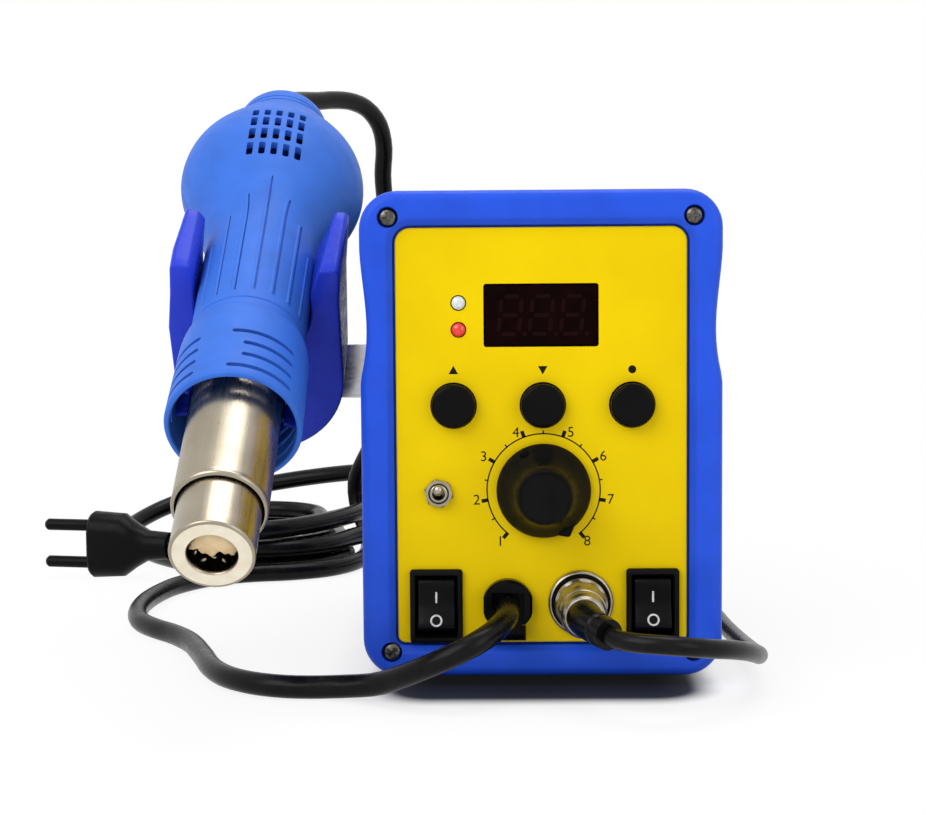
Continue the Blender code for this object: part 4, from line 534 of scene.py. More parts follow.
FRONT_Y = -0.075
REAR_Y = 0.075
BEZEL_HALF = 0.0500
BEZEL_LOW = -0.002
BEZEL_HIGH = 0.133
BEZEL_CORNER = 0.0105
BEZEL_ROUNDING = 0.0028
BEZEL_DEPTH = 0.014
BEZEL_LEDGE = 0.0012
WAIST_DEPTH = 0.0018
WAIST_LOW = 0.081
WAIST_HIGH = 0.117
PANEL_HALF = 0.0402
PANEL_LOW = 0.0074
PANEL_HIGH = 0.1228
PANEL_THICKNESS = 0.0016
PANEL_CORNERS = (0.0020, 0.0042)
GAP = 0.0003
CORNER_STEPS = 10
SIDE_STEPS = 40


def on_front(x, z, y=PANEL_FRONT):
    """A frame on the front: local X to the right, local Y up, local Z towards the user."""
    return Matrix.Translation((x, y, z)) @ FORWARD


def waist(z):
    """How far the bezel's side draws in at a height."""
    if z <= WAIST_LOW or z >= WAIST_HIGH:
        return 0.0
    share = (z - WAIST_LOW) / (WAIST_HIGH - WAIST_LOW)
    return WAIST_DEPTH * math.sin(math.pi * share ** 0.72) ** 1.4


def upright_outline(y, half, low, high, corners, inset, waisted):
    """A rounded upright outline at a depth y, with the same number of points each time."""
    half -= inset
    low += inset
    high -= inset
    radius_low, radius_high = [max(radius - inset, 0.0004) for radius in corners]
    points = []

    def corner(side, level, radius, start):
        middle = (side * (half - radius), high - radius if level > 0 else low + radius)
        points.extend((x, y, z) for x, z in arc(radius, start, 90, CORNER_STEPS, middle))

    def side_run(side, upward):
        for k in range(1, SIDE_STEPS):
            share = k / SIDE_STEPS if upward else 1 - k / SIDE_STEPS
            z = low + radius_low + share * (high - radius_high - low - radius_low)
            points.append((side * (half - (waist(z) if waisted else 0.0)), y, z))

    corner(1, 1, radius_high, 0)
    corner(-1, 1, radius_high, 90)
    side_run(-1, False)
    corner(-1, -1, radius_low, 180)
    corner(1, -1, radius_low, 270)
    side_run(1, True)
    return points


def outer_outline(y, inset):
    return upright_outline(y, BEZEL_HALF, BEZEL_LOW, BEZEL_HIGH, (BEZEL_CORNER, BEZEL_CORNER), inset, True)


def panel_outline(y, inset):
    return upright_outline(y, PANEL_HALF, PANEL_LOW, PANEL_HIGH, PANEL_CORNERS, inset, False)


SCREW_PLACES = [(x, z) for x in (-0.042, 0.042) for z in (0.0050, 0.1257)]
SCREW_HEAD = 0.0026
SCREW_HEIGHT = 0.0017
SCREW_SHANK = 0.0014
CROSS_BLADE = 0.00032
CROSS_REACH = 0.00155
WELL_RADIUS = 0.0029
WELL_DEPTH = 0.0024
WELL = [(0, -WELL_DEPTH), (WELL_RADIUS - 0.0002, -WELL_DEPTH), (WELL_RADIUS, -0.0002),
        (WELL_RADIUS + 0.0003, 0.0001), (WELL_RADIUS + 0.0003, 0.001), (0, 0.001)]


def make_bezel(name, node, mirror):
    """One ring of outlines: over the rounded edge, down the lip round the panel and back to the rear."""
    steps = 7
    rings = []
    for k in range(steps + 1):
        turn = math.pi / 2 * k / steps
        rings.append((BEZEL_ROUNDING * (1 - math.sin(turn)), outer_outline,
                      BEZEL_ROUNDING * (1 - math.cos(turn))))
    recess = PANEL_FRONT - FRONT_Y
    seat = recess + PANEL_THICKNESS + GAP
    lip = -0.0025
    opening = [(0.00004, lip - 0.0006), (0.0002, lip), (0.0006, lip + 0.0005), (recess * 0.72, -0.0009),
               (recess * 0.80, -0.0007), (seat, -0.0007), (seat, BEZEL_LEDGE), (BEZEL_DEPTH, BEZEL_LEDGE)]
    rings += [(depth, panel_outline, inset) for depth, inset in opening]
    rings.append((BEZEL_DEPTH, outer_outline, 0.0))
    bm = bmesh.new()
    add_loops(bm, [outline(REAR_Y - depth if mirror else FRONT_Y + depth, inset)
                   for depth, outline, inset in rings], ring=True)
    return piece(name, bm, "blue_plastic", nodes=(node,), sharp=50)


def carve_wells(bezel):
    """The four holes that the bezel screws sit in."""
    wells = bmesh.new()
    for x, z in SCREW_PLACES:
        add_turned(wells, WELL, 48, place=on_front(x, z, FRONT_Y))
    carve(bezel, wells)


def make_screw(number, x, z):
    head = [(0, -0.010), (SCREW_SHANK, -0.010), (SCREW_SHANK, 0), (SCREW_HEAD, 0)]
    head += dome(SCREW_HEAD, SCREW_HEIGHT, SCREW_HEIGHT * 0.6)
    screw = turned("screw_" + str(number), head, "screw_steel", AT_ORIGIN, steps=48,
                   nodes=("bezel_screw_" + str(number),))
    arm = [(CROSS_BLADE, CROSS_BLADE), (CROSS_REACH, CROSS_BLADE), (CROSS_REACH, -CROSS_BLADE)]
    plus = []
    for side in range(4):
        plus += arm
        arm = [(b, -a) for a, b in arm]
    cross = bmesh.new()
    add_prism(cross, plus, SCREW_HEIGHT * 0.35, SCREW_HEIGHT + 0.001)
    carve(screw, cross, Matrix.Rotation(math.radians(17 + 41 * number), 4, "Z"))
    screw.data.transform(on_front(x, z, FRONT_Y + WELL_DEPTH - GAP))


carve_wells(make_bezel("bezel_front_shell", "front_bezel", False))
make_bezel("bezel_rear_shell", "rear_bezel", True)
for screw_number, (screw_x, screw_z) in enumerate(SCREW_PLACES, 1):
    make_screw(screw_number, screw_x, screw_z)

WINDOW_HALF = (0.0156, 0.00845)
WINDOW_Z = 0.0986
LED_PLACES = {"led_upper": (-0.0228, 0.1021), "led_lower": (-0.0228, 0.0947)}
LED_RADIUS = 0.0019
BUTTONS = {"button_up": -0.0243, "button_down": 0.0004, "button_set": 0.0251}
BUTTON_Z = 0.0737
BUTTON_RADIUS = 0.00605
BUTTON_PROUD = 0.0036
DIAL = (0.0005, 0.0501)
TOGGLE = (-0.0286, 0.0494)
ROCKERS = {"left": -0.0295, "right": 0.0307}
ROCKER_Z = 0.0178
GLAND = (-0.0096, 0.0183)
SOCKET = (0.0107, 0.0186)
DIAL_HOLE = 0.0042
TOGGLE_HOLE = 0.0027
ROCKER_HOLE_HALF = (0.0065, 0.0091)
GLAND_HOLE = 0.0063
SOCKET_HOLE = 0.0073
STANDOFF_XS = (-0.031, 0.031)
STANDOFF_ZS = (0.0632, 0.1132)
STANDOFF_RADIUS = 0.0025
STANDOFF_LENGTH = 0.0112
DIGIT_SIZES = (0.0056, 0.0104, 0.0011)
DIGIT_LEFTS = (-0.0113, -0.0027, 0.0059)
DIGIT_LEAN = 0.10
SEGMENT_LOW = -0.00031
SEGMENT_HIGH = -0.00027


CORNER_ORDER = ((1, 1, 0), (-1, 1, 90), (-1, -1, 180), (1, -1, 270))


def box_outline(half_a, half_b, centre=(0.0, 0.0), radius=0.0, steps=6):
    a, b = centre
    if not radius:
        return [(a - half_a, b - half_b), (a + half_a, b - half_b),
                (a + half_a, b + half_b), (a - half_a, b + half_b)]
    points = []
    for sx, sy, start in CORNER_ORDER:
        points += arc(radius, start, 90, steps, (a + sx * (half_a - radius), b + sy * (half_b - radius)))
    return points


def panel_holes():
    """The outlines of all that comes through the panel."""
    outlines = [box_outline(WINDOW_HALF[0] + GAP, WINDOW_HALF[1] + GAP, (0, WINDOW_Z), 0.0008)]
    outlines += [circle(LED_RADIUS + GAP, 40, place) for place in LED_PLACES.values()]
    outlines += [circle(BUTTON_RADIUS + 0.0004, 72, (x, BUTTON_Z)) for x in BUTTONS.values()]
    outlines += [circle(DIAL_HOLE, 48, DIAL), circle(TOGGLE_HOLE, 40, TOGGLE)]
    outlines += [box_outline(*ROCKER_HOLE_HALF, (x, ROCKER_Z), 0.0004) for x in ROCKERS.values()]
    outlines += [circle(GLAND_HOLE, 56, GLAND), circle(SOCKET_HOLE, 56, SOCKET)]
    return outlines


def make_panel():
    bm = bmesh.new()
    edge = 0.00025
    add_loops(bm, [panel_outline(PANEL_FRONT, edge), panel_outline(PANEL_FRONT + edge, 0.0),
                   panel_outline(PANEL_FRONT + PANEL_THICKNESS, 0.0)])
    panel = piece("panel_plate", bm, "yellow_panel", nodes=("control_panel",))
    tools = bmesh.new()
    for outline in panel_holes():
        add_prism(tools, outline, -0.003, 0.003)
    carve(panel, tools, on_front(0, 0))


def make_standoffs():
    bm = bmesh.new()
    for x in STANDOFF_XS:
        for z in STANDOFF_ZS:
            add_prism(bm, circle(STANDOFF_RADIUS, 32, (x, z)), -PANEL_THICKNESS - STANDOFF_LENGTH,
                      -PANEL_THICKNESS)
    piece("panel_standoffs", bm, "yellow_panel", place=on_front(0, 0))


make_panel()
make_standoffs()


def segment_bars(left, low, width, height, bar):
    """The seven bars of one display digit, as outlines."""
    right = left + width
    high = low + height
    middle = low + height / 2
    cut = bar * 0.6
    bars = []
    for level in (low, middle, high):
        bars.append([(left + cut, level), (left + bar, level - bar / 2), (right - bar, level - bar / 2),
                     (right - cut, level), (right - bar, level + bar / 2), (left + bar, level + bar / 2)])
    for x in (left, right):
        for start, stop in ((low, middle), (middle, high)):
            bars.append([(x, start + cut), (x + bar / 2, start + bar), (x + bar / 2, stop - bar),
                         (x, stop - cut), (x - bar / 2, stop - bar), (x - bar / 2, start + bar)])
    return bars


def make_window():
    bm = bmesh.new()
    half_x, half_z = WINDOW_HALF
    outline = box_outline(half_x, half_z, (0, WINDOW_Z), 0.0006)
    small = box_outline(half_x - 0.0003, half_z - 0.0003, (0, WINDOW_Z), 0.0005)
    add_loops(bm, [[(x, z, -0.0021) for x, z in outline], [(x, z, -0.0006) for x, z in outline],
                   [(x, z, -0.0003) for x, z in small]])
    piece("window_pane", bm, "window_acrylic", nodes=("display_window",), place=on_front(0, 0))


def make_segments():
    """Three unlit digits, each with its point, just proud of the window."""
    bm = bmesh.new()
    width, height, bar_width = DIGIT_SIZES
    low = WINDOW_Z - height / 2
    for left in DIGIT_LEFTS:
        for bar in segment_bars(left, low, width, height, bar_width):
            add_prism(bm, [(x + (z - WINDOW_Z) * DIGIT_LEAN, z) for x, z in bar], SEGMENT_LOW, SEGMENT_HIGH)
        add_prism(bm, circle(0.0006, 20, (left + width + 0.0012, low)), SEGMENT_LOW, SEGMENT_HIGH)
    piece("display_segments", bm, "ghost", place=on_front(0, 0))


def make_led(name, x, z):
    base = -0.0128
    profile = [(0, base), (LED_RADIUS * 1.2, base), (LED_RADIUS * 1.2, base + 0.001),
               (LED_RADIUS, base + 0.001)]
    turned(name + "_lens", profile + dome(LED_RADIUS, 0.0012, 0.0012), name, on_front(x, z), nodes=(name,),
           steps=40)


make_window()
make_segments()
for led_name, led_place in LED_PLACES.items():
    make_led(led_name, *led_place)


def make_button(name, x):
    r = BUTTON_RADIUS
    top = BUTTON_PROUD
    rounding = 0.0011
    profile = [(0, -0.0118), (0.0018, -0.0118), (0.0018, -0.0035), (r + 0.0013, -0.0035),
               (r + 0.0013, -0.0019), (r, -0.0019)]
    profile += arc(rounding, 0, 90, 8, (r - rounding, top - rounding))
    profile += [(r * 0.6, top - 0.00012), (r * 0.3, top - 0.0002), (0, top - 0.00022)]
    turned(name + "_cap", profile, "gloss_black", on_front(x, BUTTON_Z), body=name, nodes=(name,))


for button_name, button_x in BUTTONS.items():
    make_button(button_name, button_x)

# Air knob

KNOB_RADIUS = 0.0131
KNOB_CAP = 0.0072
KNOB_HEIGHT = 0.0175
KNOB_FOOT = 0.0008
KNOB_REST = math.radians(-151.0)
SET_SCREW = math.radians(27.0)


def knob_curve(share):
    """Radius of the knob between its skirt (0) and its cap (1)."""
    low = KNOB_CAP * 1.06
    high = KNOB_RADIUS * 0.985
    return low + (high - low) * (0.5 + 0.5 * math.cos(math.pi * share ** 0.62))


def make_knob():
    foot = KNOB_FOOT
    neck_start = 0.0030
    profile = [(0, -0.012), (0.003, -0.012), (0.003, foot), (KNOB_RADIUS - 0.0006, foot),
               (KNOB_RADIUS - 0.0001, foot + 0.0003), (KNOB_RADIUS, foot + 0.0008), (KNOB_RADIUS, 0.0024)]
    for k in range(15):
        share = k / 14
        profile.append((knob_curve(share), neck_start + share * (KNOB_HEIGHT - 0.0010 - neck_start)))
    cap = KNOB_CAP
    profile += [(cap * 1.045, KNOB_HEIGHT - 0.0004), (cap * 1.0, KNOB_HEIGHT), (cap * 0.95, KNOB_HEIGHT),
                (cap * 0.93, KNOB_HEIGHT - 0.0004), (cap * 0.90, KNOB_HEIGHT - 0.0005),
                (0, KNOB_HEIGHT - 0.0005)]
    knob = turned("knob_body", profile, "knob_black", AT_ORIGIN, body="air_knob", nodes=("air_knob",),
                  steps=128)
    hole = bmesh.new()
    add_turned(hole, [(0, 0.0045), (0.0014, 0.0045), (0.0014, 0.020), (0, 0.020)], 40)
    sideways = Matrix.Translation((0, 0, 0.0050)) @ Matrix.Rotation(-math.pi / 2, 4, "X")
    carve(knob, hole, Matrix.Rotation(SET_SCREW, 4, "Z") @ sideways)
    knob.data.transform(on_front(*DIAL))


def make_pointer():
    """The nib on the knob's skirt, at its angle of rest."""
    nib = bmesh.new()
    reach = KNOB_RADIUS + 0.0013
    wedge = [(-0.0026, KNOB_RADIUS * 0.78), (0.0026, KNOB_RADIUS * 0.78), (0.0024, KNOB_RADIUS * 0.972),
             (0.0003, reach), (-0.0003, reach), (-0.0024, KNOB_RADIUS * 0.972)]
    add_prism(nib, wedge, KNOB_FOOT, 0.0040)
    place = on_front(*DIAL) @ Matrix.Rotation(KNOB_REST, 4, "Z")
    bevel(piece("knob_pointer", nib, "knob_black", "air_knob", place=place), 0.0003, 3)


make_knob()
make_pointer()

# Printing on the panel

INK_LOW = -0.00002
INK_HIGH = 0.00003
DIAL_ARC = 0.0157
DIAL_SWEEP = 280
DIAL_STEPS = 140
DIAL_LINE = 0.00019
MAJOR_TICK = (0.0018, 0.00052)
MINOR_TICK = (0.0009, 0.00019)
DIGIT_RINGS = {4: (25.4, 0.0177), 3: (60.6, 0.0190), 2: (98.5, 0.0188), 1: (140.0, 0.0188)}
DIGIT_SIZE = 0.0040
MAJOR_TICKS = (20, 60, 100, 140)
MINOR_TICKS = (0, 40, 80, 120)


def around_dial(clock_deg, radius):
    """A place on the panel by its angle from the top of the dial, clockwise."""
    turn = math.radians(90 - clock_deg)
    return (DIAL[0] + radius * math.cos(turn), DIAL[1] + radius * math.sin(turn))


def add_bar(bm, start, stop, half):
    along = (Vector(stop) - Vector(start)).normalized() * half
    across = Vector((-along.y, along.x))
    start = Vector(start)
    stop = Vector(stop)
    add_prism(bm, [tuple(start - across), tuple(stop - across), tuple(stop + across), tuple(start + across)],
              INK_LOW, INK_HIGH)


def make_dial():
    """The scale's line with its ticks, the same to the left and to the right."""
    bm = bmesh.new()
    outer, inner = [arc(DIAL_ARC + aside, 90 + DIAL_SWEEP / 2, -DIAL_SWEEP, DIAL_STEPS, DIAL)
                    for aside in (DIAL_LINE, -DIAL_LINE)]
    for k in range(DIAL_STEPS):
        add_prism(bm, [outer[k], outer[k + 1], inner[k + 1], inner[k]], INK_LOW, INK_HIGH)
    for angles, (length, half), start in ((MAJOR_TICKS, MAJOR_TICK, DIAL_ARC - DIAL_LINE),
                                          (MINOR_TICKS, MINOR_TICK, DIAL_ARC)):
        for angle in angles:
            for side in (-1, 1) if angle else (1,):
                add_bar(bm, around_dial(side * angle, start), around_dial(side * angle, DIAL_ARC + length),
                        half)
    piece("dial_marks", bm, "ink", place=on_front(0, 0))


def make_text(name, text, x, z, size):
    """Plain characters as a thin raised print, centred on a place on the panel."""
    curve = bpy.data.curves.new(name, "FONT")
    curve.body = text
    curve.size = size
    curve.align_x = "CENTER"
    curve.align_y = "CENTER"
    curve.extrude = (INK_HIGH - INK_LOW) / 2
    holder = add_object(name, curve)
    mesh = final_mesh(holder)
    bpy.data.objects.remove(holder, do_unlink=True)
    bm = bmesh.new()
    bm.from_mesh(mesh)
    piece(name, bm, "ink", place=on_front(x, z, PANEL_FRONT - (INK_HIGH + INK_LOW) / 2))


make_dial()
for digit, (clock, ring) in DIGIT_RINGS.items():
    make_text("digit_" + str(digit), str(digit), *around_dial(-clock, ring), DIGIT_SIZE)
    make_text("digit_" + str(9 - digit), str(9 - digit), *around_dial(clock, ring), DIGIT_SIZE)


def make_symbols():
    """An arrow up, an arrow down and a dot above the three buttons."""
    bm = bmesh.new()
    level = BUTTON_Z + 0.0098
    half = 0.0013
    for x, way in zip(BUTTONS.values(), (1, -1)):
        foot = level - way * half * 0.8
        arrow = [(x - half, foot), (x + half, foot), (x, level + way * half)]
        add_prism(bm, arrow[::way], INK_LOW, INK_HIGH)
    add_prism(bm, circle(half * 0.85, 40, (BUTTONS["button_set"], level)), INK_LOW, INK_HIGH)
    piece("button_symbols", bm, "ink", place=on_front(0, 0))


make_symbols()

# Toggle switch

TOGGLE_TILT = math.radians(90 - 12.5)
NUT_ACROSS = 0.0072


def hexagon_reach(radius, height, turn):
    """Pulls a round nut into a hexagon below its turned chamfer."""
    if radius < 0.0031:
        return radius
    folded = (turn + math.pi / 6) % (math.pi / 3) - math.pi / 6
    return min(radius, NUT_ACROSS / 2 / math.cos(folded))


def make_hex_nut(place):
    corner = NUT_ACROSS / math.sqrt(3)
    profile = [(0.0027, GAP), (corner, GAP), (corner, 0.0015), (corner - 0.0005, 0.0019), (0.0029, 0.0019),
               (0.0027, 0.0017)]
    turned("toggle_hex_nut", profile, "nickel", place @ Matrix.Rotation(math.radians(15), 4, "Z"),
           nodes=("toggle_nut",), hollow=True, shape=hexagon_reach)


def make_bush(place):
    """The threaded bush, open for the lever."""
    profile = [(0, -0.0096), (0.0038, -0.0096), (0.0038, -0.0019), (0.0024, -0.0019)]
    for k in range(11):
        level = -0.0010 + k * 0.00032
        profile += [(0.0024, level), (0.00222, level + 0.00016)]
    profile += [(0.0024, 0.0025), (0.0022, 0.0026), (0.0018, 0.0026), (0.0017, 0.0024), (0.0017, -0.0042),
                (0, -0.0042)]
    turned("toggle_bush", profile, "nickel", place, nodes=("toggle_body",), steps=48, sharp=25)


def make_lever():
    length = 0.0088
    profile = [(0, -0.0034), (0.0010, -0.0030), (0.0011, 0), (0.0010, 0.0030), (0.00115, 0.0048),
               (0.0014, length - 0.0022)] + dome(0.00143, length, 0.0012)
    pivot = Matrix.Translation((TOGGLE[0], PANEL_FRONT, TOGGLE[1]))
    turned("toggle_bat", profile, "nickel", pivot @ Matrix.Rotation(TOGGLE_TILT, 4, "X"),
           body="toggle_lever", nodes=("toggle_lever",), steps=40)


make_hex_nut(on_front(*TOGGLE))
make_bush(on_front(*TOGGLE))
make_lever()

# Rocker switches

ROCKER_TILT = math.radians(-10.0)
ROCKER_FRAME_HALF = (0.00735, 0.0103)
ROCKER_OPENING_HALF = (0.0055, 0.0083)
ROCKER_BACK_HALF = (0.0062, 0.0088)
ROCKER_THICK = 0.0019
PIVOT_DEPTH = 0.0036
PADDLE_WIDTH = ROCKER_OPENING_HALF[0] - 0.0004
PADDLE_HALF = ROCKER_OPENING_HALF[1] - 0.0004
PADDLE_FACE = PADDLE_HALF - 0.0020
PADDLE_RISE = PADDLE_HALF * math.tan(-ROCKER_TILT) * 0.9
MARK_HEIGHT = 0.00010


def make_rocker_frame(side, x):
    rings = [(ROCKER_OPENING_HALF, 0.0004, -0.0085), (ROCKER_OPENING_HALF, 0.0004, 0.0006),
             ((0.0060, 0.0088), 0.0005, ROCKER_THICK), ((0.00685, 0.0098), 0.0007, ROCKER_THICK),
             ((0.00715, 0.0101), 0.0009, ROCKER_THICK - 0.0002),
             (ROCKER_FRAME_HALF, 0.0010, ROCKER_THICK - 0.0006), (ROCKER_FRAME_HALF, 0.0010, GAP),
             (ROCKER_BACK_HALF, 0.0005, GAP), (ROCKER_BACK_HALF, 0.0005, -0.0135)]
    bm = bmesh.new()
    add_loops(bm, [[(a, b, level) for a, b in box_outline(*half, radius=radius)]
                   for half, radius, level in rings])
    piece("rocker_surround_" + side, bm, "black_plastic", nodes=("rocker_frame_" + side,),
          place=on_front(x, ROCKER_Z))


def paddle_front(level):
    """How far the paddle's hollow face stands out at a height."""
    share = (level / PADDLE_FACE + 1) / 2
    return PIVOT_DEPTH + (PADDLE_RISE - 0.0002) * abs(1 - 2 * share) ** 1.25


def paddle_profile():
    """(height, forward) round the paddle, seen from its side."""
    edge = PADDLE_HALF - 0.0002
    crown = PIVOT_DEPTH + PADDLE_RISE
    back = PADDLE_HALF * 0.45
    end = [(edge - 0.0010 * (k / 8) ** 2, k / 8 * (crown - 0.0004)) for k in range(9)]
    end.append((PADDLE_FACE, crown - 0.0002))
    face = [PADDLE_FACE * (k / 6 - 1) for k in range(1, 12)]
    return ([(-level, forward) for level, forward in end] + [(level, paddle_front(level)) for level in face]
            + end[::-1] + [(back, -0.0030), (-back, -0.0030)])


def make_paddle(side, pivot):
    bm = bmesh.new()
    add_loops(bm, [[(across, -forward, level) for level, forward in paddle_profile()]
                   for across in (-PADDLE_WIDTH, PADDLE_WIDTH)])
    name = "rocker_" + side
    bevel(piece(name + "_paddle", bm, "black_plastic", name, ("rocker_paddle_" + side,), place=pivot),
          0.00035, 3, 50)


def make_marks(side, pivot):
    """The bar and the ring, laid on the paddle's hollow face."""
    bm = bmesh.new()
    add_prism(bm, box_outline(0.00026, 0.0015, (0, 0.0019)), 0, MARK_HEIGHT)
    outer, inner = [circle(radius, 56, (0, -0.0045)) for radius in (0.00168, 0.00120)]
    corners = ((outer, 0.0), (outer, MARK_HEIGHT), (inner, MARK_HEIGHT), (inner, 0.0))
    add_loops(bm, [[(a, b, level) for a, b in outline] for outline, level in corners], ring=True)
    for vertex in bm.verts:
        vertex.co.z += paddle_front(vertex.co.y) - 0.00004
    bm.transform(FORWARD)
    piece("rocker_" + side + "_marks", bm, "white_ink", "rocker_" + side, place=pivot)


for rocker_side, rocker_x in ROCKERS.items():
    make_rocker_frame(rocker_side, rocker_x)
    rocker_pivot = Matrix.Translation((rocker_x, PANEL_FRONT - ROCKER_THICK + PIVOT_DEPTH, ROCKER_Z))
    rocker_pivot = rocker_pivot @ Matrix.Rotation(ROCKER_TILT, 4, "X")
    make_paddle(rocker_side, rocker_pivot)
    make_marks(rocker_side, rocker_pivot)

# Iron connector

SOCKET_SHELL = 0.0058
FLANGE = 0.0091
FLANGE_THICK = 0.0022
COUPLING_START = FLANGE_THICK + 0.0007
COUPLING_END = COUPLING_START + 0.0098
COUPLING_RING = 0.0073
COUPLING_FRONT = 0.0065
SCALLOPS = 9
SCALLOP_DEPTH = 0.0003
PLUG_RADIUS = 0.0055
PLUG_START = 0.0088
PLUG_END = PLUG_START + 0.0150


def make_socket():
    shell = SOCKET_SHELL
    step = shell + 0.0012
    edge = FLANGE
    top = FLANGE_THICK
    dish = top - 0.0004
    profile = [(0, -0.012), (shell + 0.0008, -0.012), (shell + 0.0008, -0.0019), (step, -0.0019),
               (step, GAP), (edge, GAP), (edge, top * 0.65), (edge - 0.0002, top * 0.85),
               (edge - 0.0006, top), (edge - 0.0009, top), (edge - 0.0011, dish), (step, dish),
               (shell, dish), (shell, 0.0085), (0, 0.0085)]
    turned("socket_flange", profile, "nickel", on_front(*SOCKET), nodes=("iron_socket",), steps=112,
           fillet=0.0002)
    # A gloss black ring in the flange's dish, under the coupling ring: painted shade for the dark gap
    # between them.
    washer = [(0.0066, top - 0.0006), (0.0079, top - 0.0006), (0.0079, top + 0.0001), (0.0077, top + 0.0003),
              (0.0066, top + 0.0003)]
    turned("socket_gap_shade_ring", washer, "gloss_black", on_front(*SOCKET), hollow=True)


def scalloped(radius, height, turn):
    """Draws the outside of the coupling ring in between its grips, beyond a plain band."""
    if radius < 0.0064 or height < COUPLING_START + 0.0021:
        return radius
    return radius - SCALLOP_DEPTH * (0.5 + 0.5 * math.cos(turn * SCALLOPS))


def make_coupling():
    bore = SOCKET_SHELL + 0.0004
    low = COUPLING_START
    end = COUPLING_END
    ring = COUPLING_RING
    front = COUPLING_FRONT
    profile = [(bore, low), (bore, end - 0.0012), (0.0059, end - 0.0012), (0.0059, end),
               (front - 0.0003, end), (front, end - 0.0004), (front + 0.0003, end - 0.0014),
               (front + 0.0005, low + 0.0040),
               (ring - 0.0004, low + 0.0024), (ring, low + 0.0018), (ring - 0.0003, low + 0.0014),
               (ring, low + 0.0010), (ring, low + 0.0003), (ring - 0.0003, low)]
    turned("coupling_nut", profile, "nickel", on_front(*SOCKET), body="coupling_ring",
           nodes=("coupling_ring",), steps=144, hollow=True, shape=scalloped)


def make_plug():
    inside = SOCKET_SHELL - 0.0001
    plug = PLUG_RADIUS
    end = COUPLING_END
    stop = PLUG_END
    profile = [(0, PLUG_START), (inside, PLUG_START), (inside, end - 0.0015), (plug, end - 0.0015),
               (plug, end + 0.0010), (plug + 0.0010, end + 0.0014), (plug + 0.0010, end + 0.0040),
               (plug + 0.0006, end + 0.0044), (plug + 0.0008, stop - 0.003), (plug + 0.0003, stop - 0.0010),
               (plug - 0.0004, stop), (0, stop)]
    turned("plug_barrel", profile, "nickel", on_front(*SOCKET), nodes=("plug_body",), fillet=0.0002)


make_socket()
make_coupling()
make_plug()


def make_boot():
    """A tapered, ridged sleeve that droops with the cord as it leaves the plug."""
    base = PANEL_FRONT - 0.0241
    length = 0.0130
    sideways = 0.0058
    drop = 0.0021
    rows = 40
    loops = []
    for k in range(rows + 1):
        share = k / rows
        radius = 0.0049 - 0.0005 * share
        ridge = 0.0004 if 0.74 < share < 0.80 else 0.0
        centre = Vector((SOCKET[0] + sideways * share ** 1.6, base - length * share,
                         SOCKET[1] - drop * share ** 1.5))
        yaw = math.atan(sideways / length * 1.6 * share ** 0.6)
        pitch = math.atan(drop / length * 1.5 * share ** 0.5)
        side = Vector((math.cos(yaw), math.sin(yaw), 0))
        up = Vector((0, -math.sin(pitch), math.cos(pitch)))
        loops.append([centre + (side * math.cos(t) + up * math.sin(t)) * (radius - ridge)
                      for t in [2 * math.pi * j / 48 for j in range(48)]])
    bm = bmesh.new()
    add_loops(bm, loops)
    piece("cord_boot", bm, "black_rubber", nodes=("plug_boot",), sharp=50)


make_boot()

# Handpiece

NECK_RADIUS = 0.0163
SHELL_WALL = 0.0022
HEAD_START = 0.134
HEAD_CENTRE = 0.176
HEAD_HALF = (0.0290, 0.0250)
SHOULDER = (0.7, 1.3)
SHROUD_END = 0.0876
TAIL_START = 0.2085
TAIL_END = 0.2190
TAIL_RADIUS = 0.0156
COLLAR_LINE = 0.0912
GROOVE_HALF = 0.0004
GROOVE_DEPTH = 0.00035
RIB_PITCH = 19.5
RIBS = range(-3, 4)
RIB_START = 0.0945
RIB_SECTION = [(-1.0, 0.0), (-0.86, 0.55), (-0.5, 0.88), (0, 1.0), (0.5, 0.88), (0.86, 0.55), (1.0, 0.0)]
RIB_ENDS = (0.1520, 0.1445, 0.1365, 0.1260)


def head_size(z):
    """Half width and half height of the handpiece shell at a distance from the tip."""
    neck = NECK_RADIUS + 0.0006 * (z - SHROUD_END) / (HEAD_START - SHROUD_END)
    if z <= HEAD_START:
        return neck, neck
    if z < HEAD_CENTRE:
        share = (z - HEAD_START) / (HEAD_CENTRE - HEAD_START)
        rise = share * share * (3 - 2 * share)
        return tuple(neck + (half - neck) * rise for half in HEAD_HALF)
    share = min(1.0, (z - HEAD_CENTRE) / (TAIL_START - GAP - HEAD_CENTRE))
    fall = max(0.0, math.cos(math.pi / 2 * share))
    return tuple(TAIL_RADIUS + (half - TAIL_RADIUS) * fall ** power
                 for half, power in zip(HEAD_HALF, SHOULDER))


def collar_groove(z):
    """Depth of the fine V line around the shell's front end."""
    return GROOVE_DEPTH * max(0.0, 1 - abs(z - COLLAR_LINE) / GROOVE_HALF)


def shell_stations():
    """Distances from the tip at which the shell is drawn, closer together where it closes."""
    start = SHROUD_END + GAP
    stations = [start, COLLAR_LINE - GROOVE_HALF, COLLAR_LINE, COLLAR_LINE + GROOVE_HALF]
    rows = 16
    stations += [COLLAR_LINE + 0.0010 + (HEAD_START - COLLAR_LINE - 0.0010) * k / rows for k in range(rows)]
    rows = 28
    stations += [HEAD_START + (HEAD_CENTRE - HEAD_START) * k / rows for k in range(rows)]
    rows = 36
    stations += [HEAD_CENTRE + (TAIL_START - GAP - HEAD_CENTRE) * math.sin(math.pi / 2 * k / rows)
                 for k in range(rows + 1)]
    return stations


def add_vents(bm, side):
    """The block of slots in one half of the head."""
    low, high = sorted((side * 0.008, side * 0.040))
    for row in range(4):
        z = HEAD_CENTRE - 0.0132 + row * 0.0068
        for column in range(-2, 3):
            outline = box_outline(0.0010, 0.0026, (column * 0.0037, z), 0.0006, 4)
            add_loops(bm, [[(a, level, b) for a, b in outline] for level in (low, high)])


